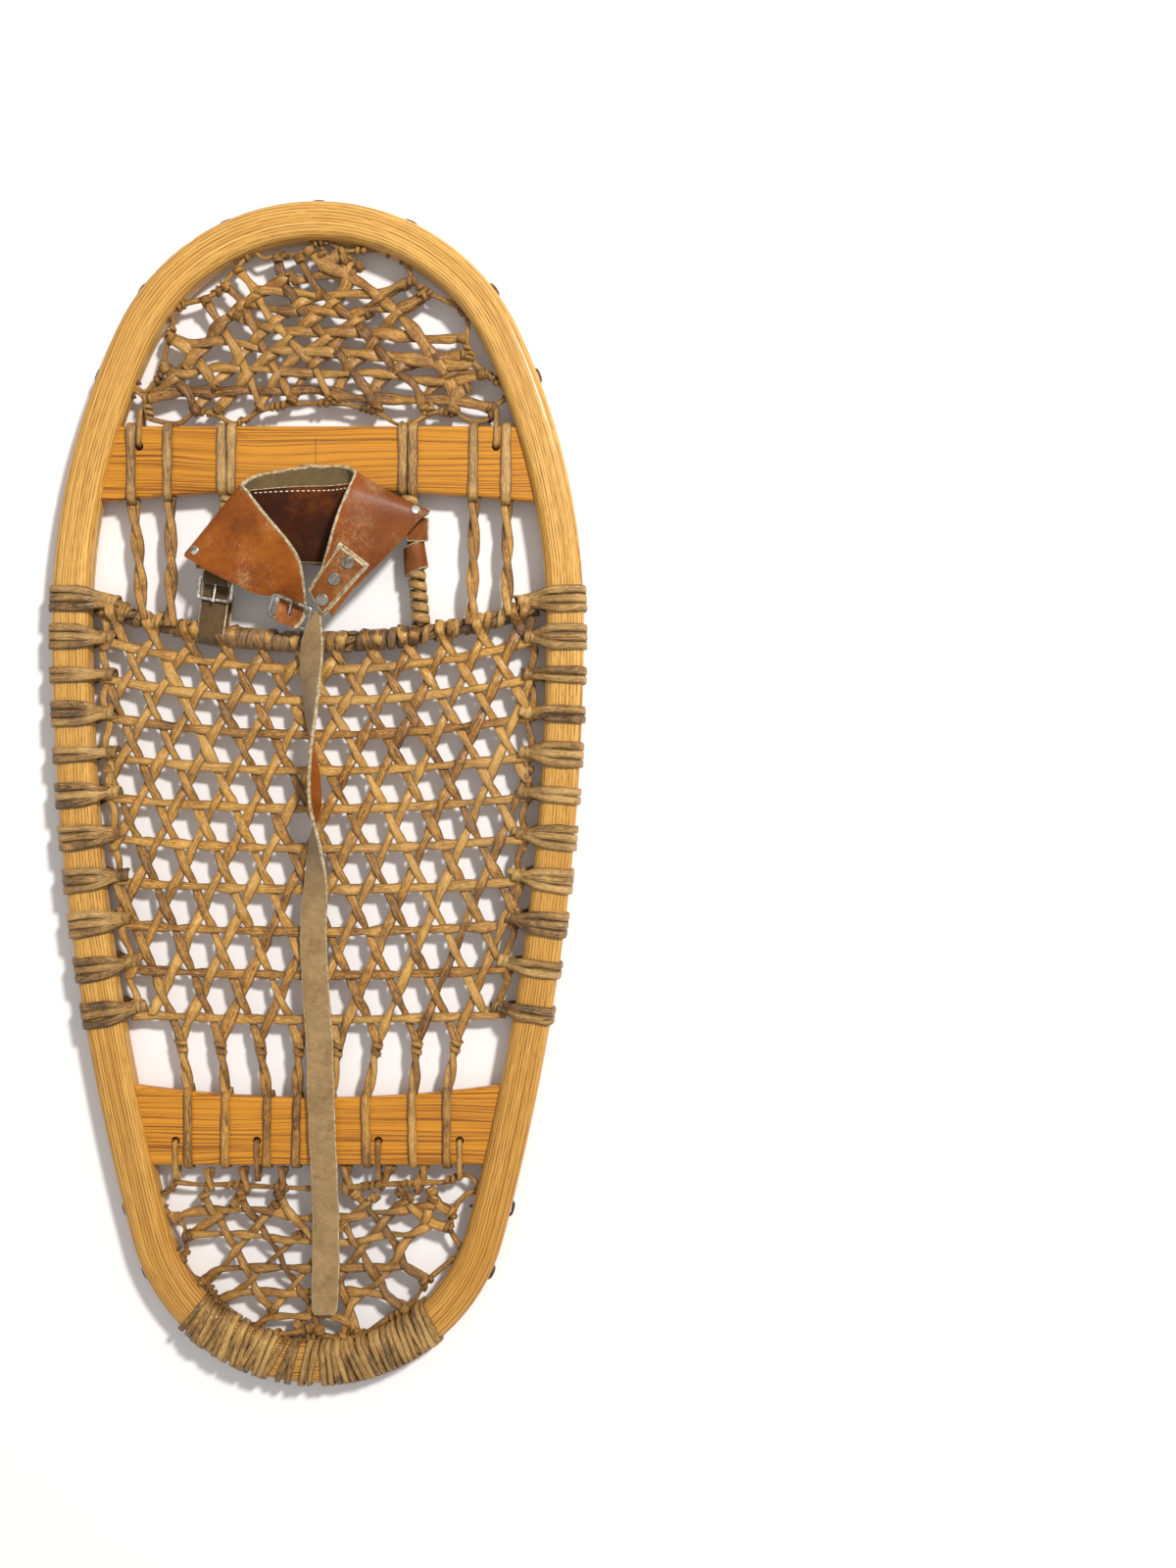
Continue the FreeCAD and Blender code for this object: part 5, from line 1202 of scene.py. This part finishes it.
def make_binding():
    collar.piece("collar_leather", ["flesh", "edge", "grain"], "binding", "toe_collar", pared=1.2)
    lining = lining_sheet(8.3, 12.2, 0.19, 0.98, 1.9, 1.1)
    lining.piece("collar_lining_leather", ["inner", "edge", "inner"], "binding", "collar_lining",
                 pared=0.7)
    tab = tab_sheet((0, 0, 0), (0, 0, 0), 2.4)
    tab.piece("tab_leather", ["tab", "edge", "tab"], "binding", "collar_tab", pared=1.2)
    under = tab_sheet((-0.9, 0.9, -1.1), (1.1, -0.6, -1.1), 1.8)
    for point in under.grid[0]:
        point += Vector((0.8, 1.4, 0))
    under.piece("tab_flesh_edge", ["edge", "edge", "edge"], "binding")
    rim = Thongs(0.2)
    rim.add(collar_inner, 2.4, 2.7, step=2.0, ragged=0.08)
    rim.finish("collar_rim", "edge", "binding")
    rivet_piece("tab_rivet_heads", [tab.at(along, share, -1.3) for along, share in (
        (0.14, 0.5), (0.48, 0.5), (0.86, 0.62))], 4.0, 1.3, "steel", "tab_rivets")
    rivet_piece("corner_rivet_heads", [collar.at(station / COLLAR_STATIONS, share, -1.2)
                for station, share in ((6.3, 0.88), (14.6, 0.86))], 3.0, 1.1, "nickel", "corner_rivets")
    seam = Thongs(0.0)
    for k in range(22):
        along = (8.6 + 3.4 * k / 21) / COLLAR_STATIONS
        a, b = (collar.at(end, 0.245, 2.6)[0] for end in (along, along + 0.0045))
        seam.add([a, a.lerp(b, 0.5) + UP * 0.25, b], 0.8, 0.5, step=0.5, ragged=0.05)
    seam.finish("lining_stitches", "thread", "binding")
    flap = Sheet([Vector((-11, y, 6.3)) for y in (190, 196, 203)],
                 [Vector((4, y, 6.3)) for y in (190, 196, 202)], 1.2, 4)
    flap.piece("back_flap_leather", ["grain", "edge", "suede"], "binding")


make_binding()


# Closing strap: middle x, y and height, share of the full width, and roll in degrees
STRAP = (
    (1.2, 110.5, 15.0, 0.34, 6), (0.2, 105.0, 15.1, 0.48, 8), (-0.8, 99.5, 14.5, 0.66, 12),
    (-2.0, 93.0, 12.4, 0.86, 18), (-3.0, 84.0, 9.9, 1.0, 26), (-3.3, 72.0, 8.6, 1.0, 35),
    (-3.0, 46.0, 10.6, 1.0, 62), (-1.5, 20.0, 11.8, 1.0, 95), (-0.5, -7.0, 11.8, 1.0, 104),
    (-0.8, -30.0, 10.6, 1.0, 62),
    (-0.6, -56.0, 7.2, 1.0, 25), (-2.7, -82.0, 4.0, 1.0, 0), (-1.5, -119.0, 3.8, 1.0, 0),
    (0.9, -152.0, 4.2, 1.0, 0), (2.4, -181.0, 8.0, 1.0, 0), (3.6, -212.0, 8.2, 1.0, 0),
    (4.6, -238.0, 7.9, 1.0, 0), (5.0, -262.0, 4.6, 1.0, 0), (5.0, -290.0, 4.0, 1.0, 0),
    (4.6, -312.0, 4.0, 1.0, 0), (4.4, -320.0, 4.0, 0.94, 0), (4.3, -324.0, 4.0, 0.72, 0),
)


def make_strap():
    strap_width = 16.5
    left, right = [], []
    for x, y, z, share, roll in STRAP:
        angle = math.radians(roll)
        half = Vector((math.cos(angle), 0, math.sin(angle))) * (strap_width * share / 2)
        left.append(Vector((x, y, z)) - half)
        right.append(Vector((x, y, z)) + half)
    left, right = smooth_path(left, count=8), smooth_path(right, count=8)
    for k in range(len(left)):
        way = (right[k] - left[k]).normalized()
        left[k] = left[k] + way * (0.5 * noise.noise(left[k] * 0.07))
        right[k] = right[k] + way * (0.5 * noise.noise(right[k] * 0.07 + Vector((9, 0, 0))))
    strap = Sheet(left, right, 2.2, across=6)
    piece = strap.piece("strap_leather", ["grain", "edge", "suede"], None, "closing_strap")
    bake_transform(piece)


make_strap()


# Anchors: straps of the collar's two sides

def link_piece(name, finish, node, x0, x1, profile):
    """A short flat strap between two x; profile: distance ahead of the hinge line and height."""
    sides = [[Vector((x, HINGE_Y + ahead, 5.6 + height)) for ahead, height in profile] for x in (x0, x1)]
    Sheet(*sides, 1.5, across=4).piece(name, [finish, "edge", finish], "binding", node)


def make_anchors():
    turn = Matrix.Rotation(math.radians(-8), 3, "Z")
    base = Vector((-66, cord_y(66), 0))

    def local(x, y, z):
        return base + turn @ Vector((x, y, z))

    inner = CORD_RADIUS + 0.3
    profile = [(26, -inner - 1.1), (10, -inner - 1.1), (0, -inner - 1.1), (-inner * 0.75, -inner * 0.8),
               (-inner - 1.1, 0), (-inner * 0.75, inner * 0.8), (0, inner + 1.1), (10, inner + 1.1),
               (24, inner + 1.1), (30, inner + 1.1), (34, inner + 1.1), (37, inner + 3.0),
               (36.6, inner + 5.4), (34.4, inner + 6.2), (31.2, inner + 5.2), (30.6, inner + 2.6)]
    sides = [smooth_path([local(x, y, z) for y, z in profile], count=4) for x in (-8.5, 8.5)]
    strap = Sheet(*sides, 2.1, across=5)
    strap.piece("left_anchor_leather", ["anchor", "edge", "anchor"], "frame", "left_anchor_strap")
    link_piece("left_link_leather", "anchor", "left_anchor_link", -75, -58,
               ((6.0, 0.6), (10, 0.3), (15, 0), (20, 0)))
    top, foot = side_cord_line(1)
    run = (foot - top).normalized()
    flat = run.cross(UP).normalized()
    centre = top + run * ((top.y - 145.3) / abs(run.y))
    ends = []
    for along in (-8.75, 8.75):
        ring = []
        for k in range(13):
            a = 2 * math.pi * k / 12
            reach = 6.4 + 0.9 * math.sin(2 * a + along)
            spoke = flat * math.cos(a) + UP * math.sin(a)
            ring.append(centre + run * (along + 2.2 * math.cos(a)) + spoke * reach)
        ends.append(ring)
    loop = Sheet(*ends, 2.0, across=5)
    loop.piece("right_loop_leather", ["grain", "edge", "grain"], "frame", "right_anchor_loop")
    link_piece("right_strap_leather", "grain", "right_anchor_strap", 55, 69,
               ((23, 0.9), (30, 0.3), (38, 0)))


make_anchors()


# CAD pieces that keep their shape

for node, finish in (("frame_hoop", "hoop"), ("toe_crossbar", "toe_bar"), ("heel_crossbar", "heel_bar"),
                     ("front_buckle_frame", "dull_nickel"), ("front_buckle_prong", "dull_nickel"),
                     ("anchor_buckle_frame", "nickel"), ("anchor_buckle_prong", "nickel")):
    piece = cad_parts[node]
    for place in piece.material_slots:
        place.material = FINISH[finish]
    if not piece.material_slots:
        piece.data.materials.append(FINISH[finish])


# Floor, sky and lights

def make_stage():
    bpy.ops.mesh.primitive_plane_add(size=8.0, location=(0, 0, -0.0005))
    floor = bpy.context.object
    floor.name = "floor"
    f = Finish("pale_floor", Base_Color=(0.90, 0.885, 0.90), Roughness=0.9, Specular_IOR_Level=0.1)
    x, y, _ = f.split(f.place())
    far = f.spread((x * x + y * y) ** 0.5, 0.8, 1.7) * f.node("ShaderNodeLightPath", {})
    white = f.node("ShaderNodeEmission", {}, (1.0, 1.0, 1.0), 1.0)
    f.show(f.node("ShaderNodeMixShader", {}, far, Sock(f, f.shader.outputs[0]), white))
    floor.data.materials.append(f.material)
    world = bpy.data.worlds.new("studio")
    bpy.context.scene.world = world
    world.use_nodes = True
    sky = Nodes(world.node_tree)
    sky.tree.nodes.remove(sky.tree.nodes["Background"])
    direct = sky.node("ShaderNodeMath", {"operation": "ADD", "use_clamp": True},
                      *(sky.node("ShaderNodeLightPath", {}, out=f"Is {ray} Ray")
                        for ray in ("Camera", "Glossy")))
    soft = sky.node("ShaderNodeBackground", {}, (1.0, 0.99, 0.97), 0.56)
    bright = sky.node("ShaderNodeBackground", {}, (1.0, 1.0, 1.0), 1.0)
    sky.show(sky.node("ShaderNodeMixShader", {}, direct, soft, bright), "World Output")
    bpy.ops.object.light_add(type="AREA", location=(1.8, 1.8, 3.0))
    key = bpy.context.object
    key.name = "key"
    key.data.size = 0.4
    key.data.energy = 154.0
    key.data.color = (1.0, 0.97, 0.92)
    key.rotation_euler = (-key.location).to_track_quat("-Z", "Y").to_euler()


make_stage()
bpy.context.scene.view_settings.view_transform = "Standard"
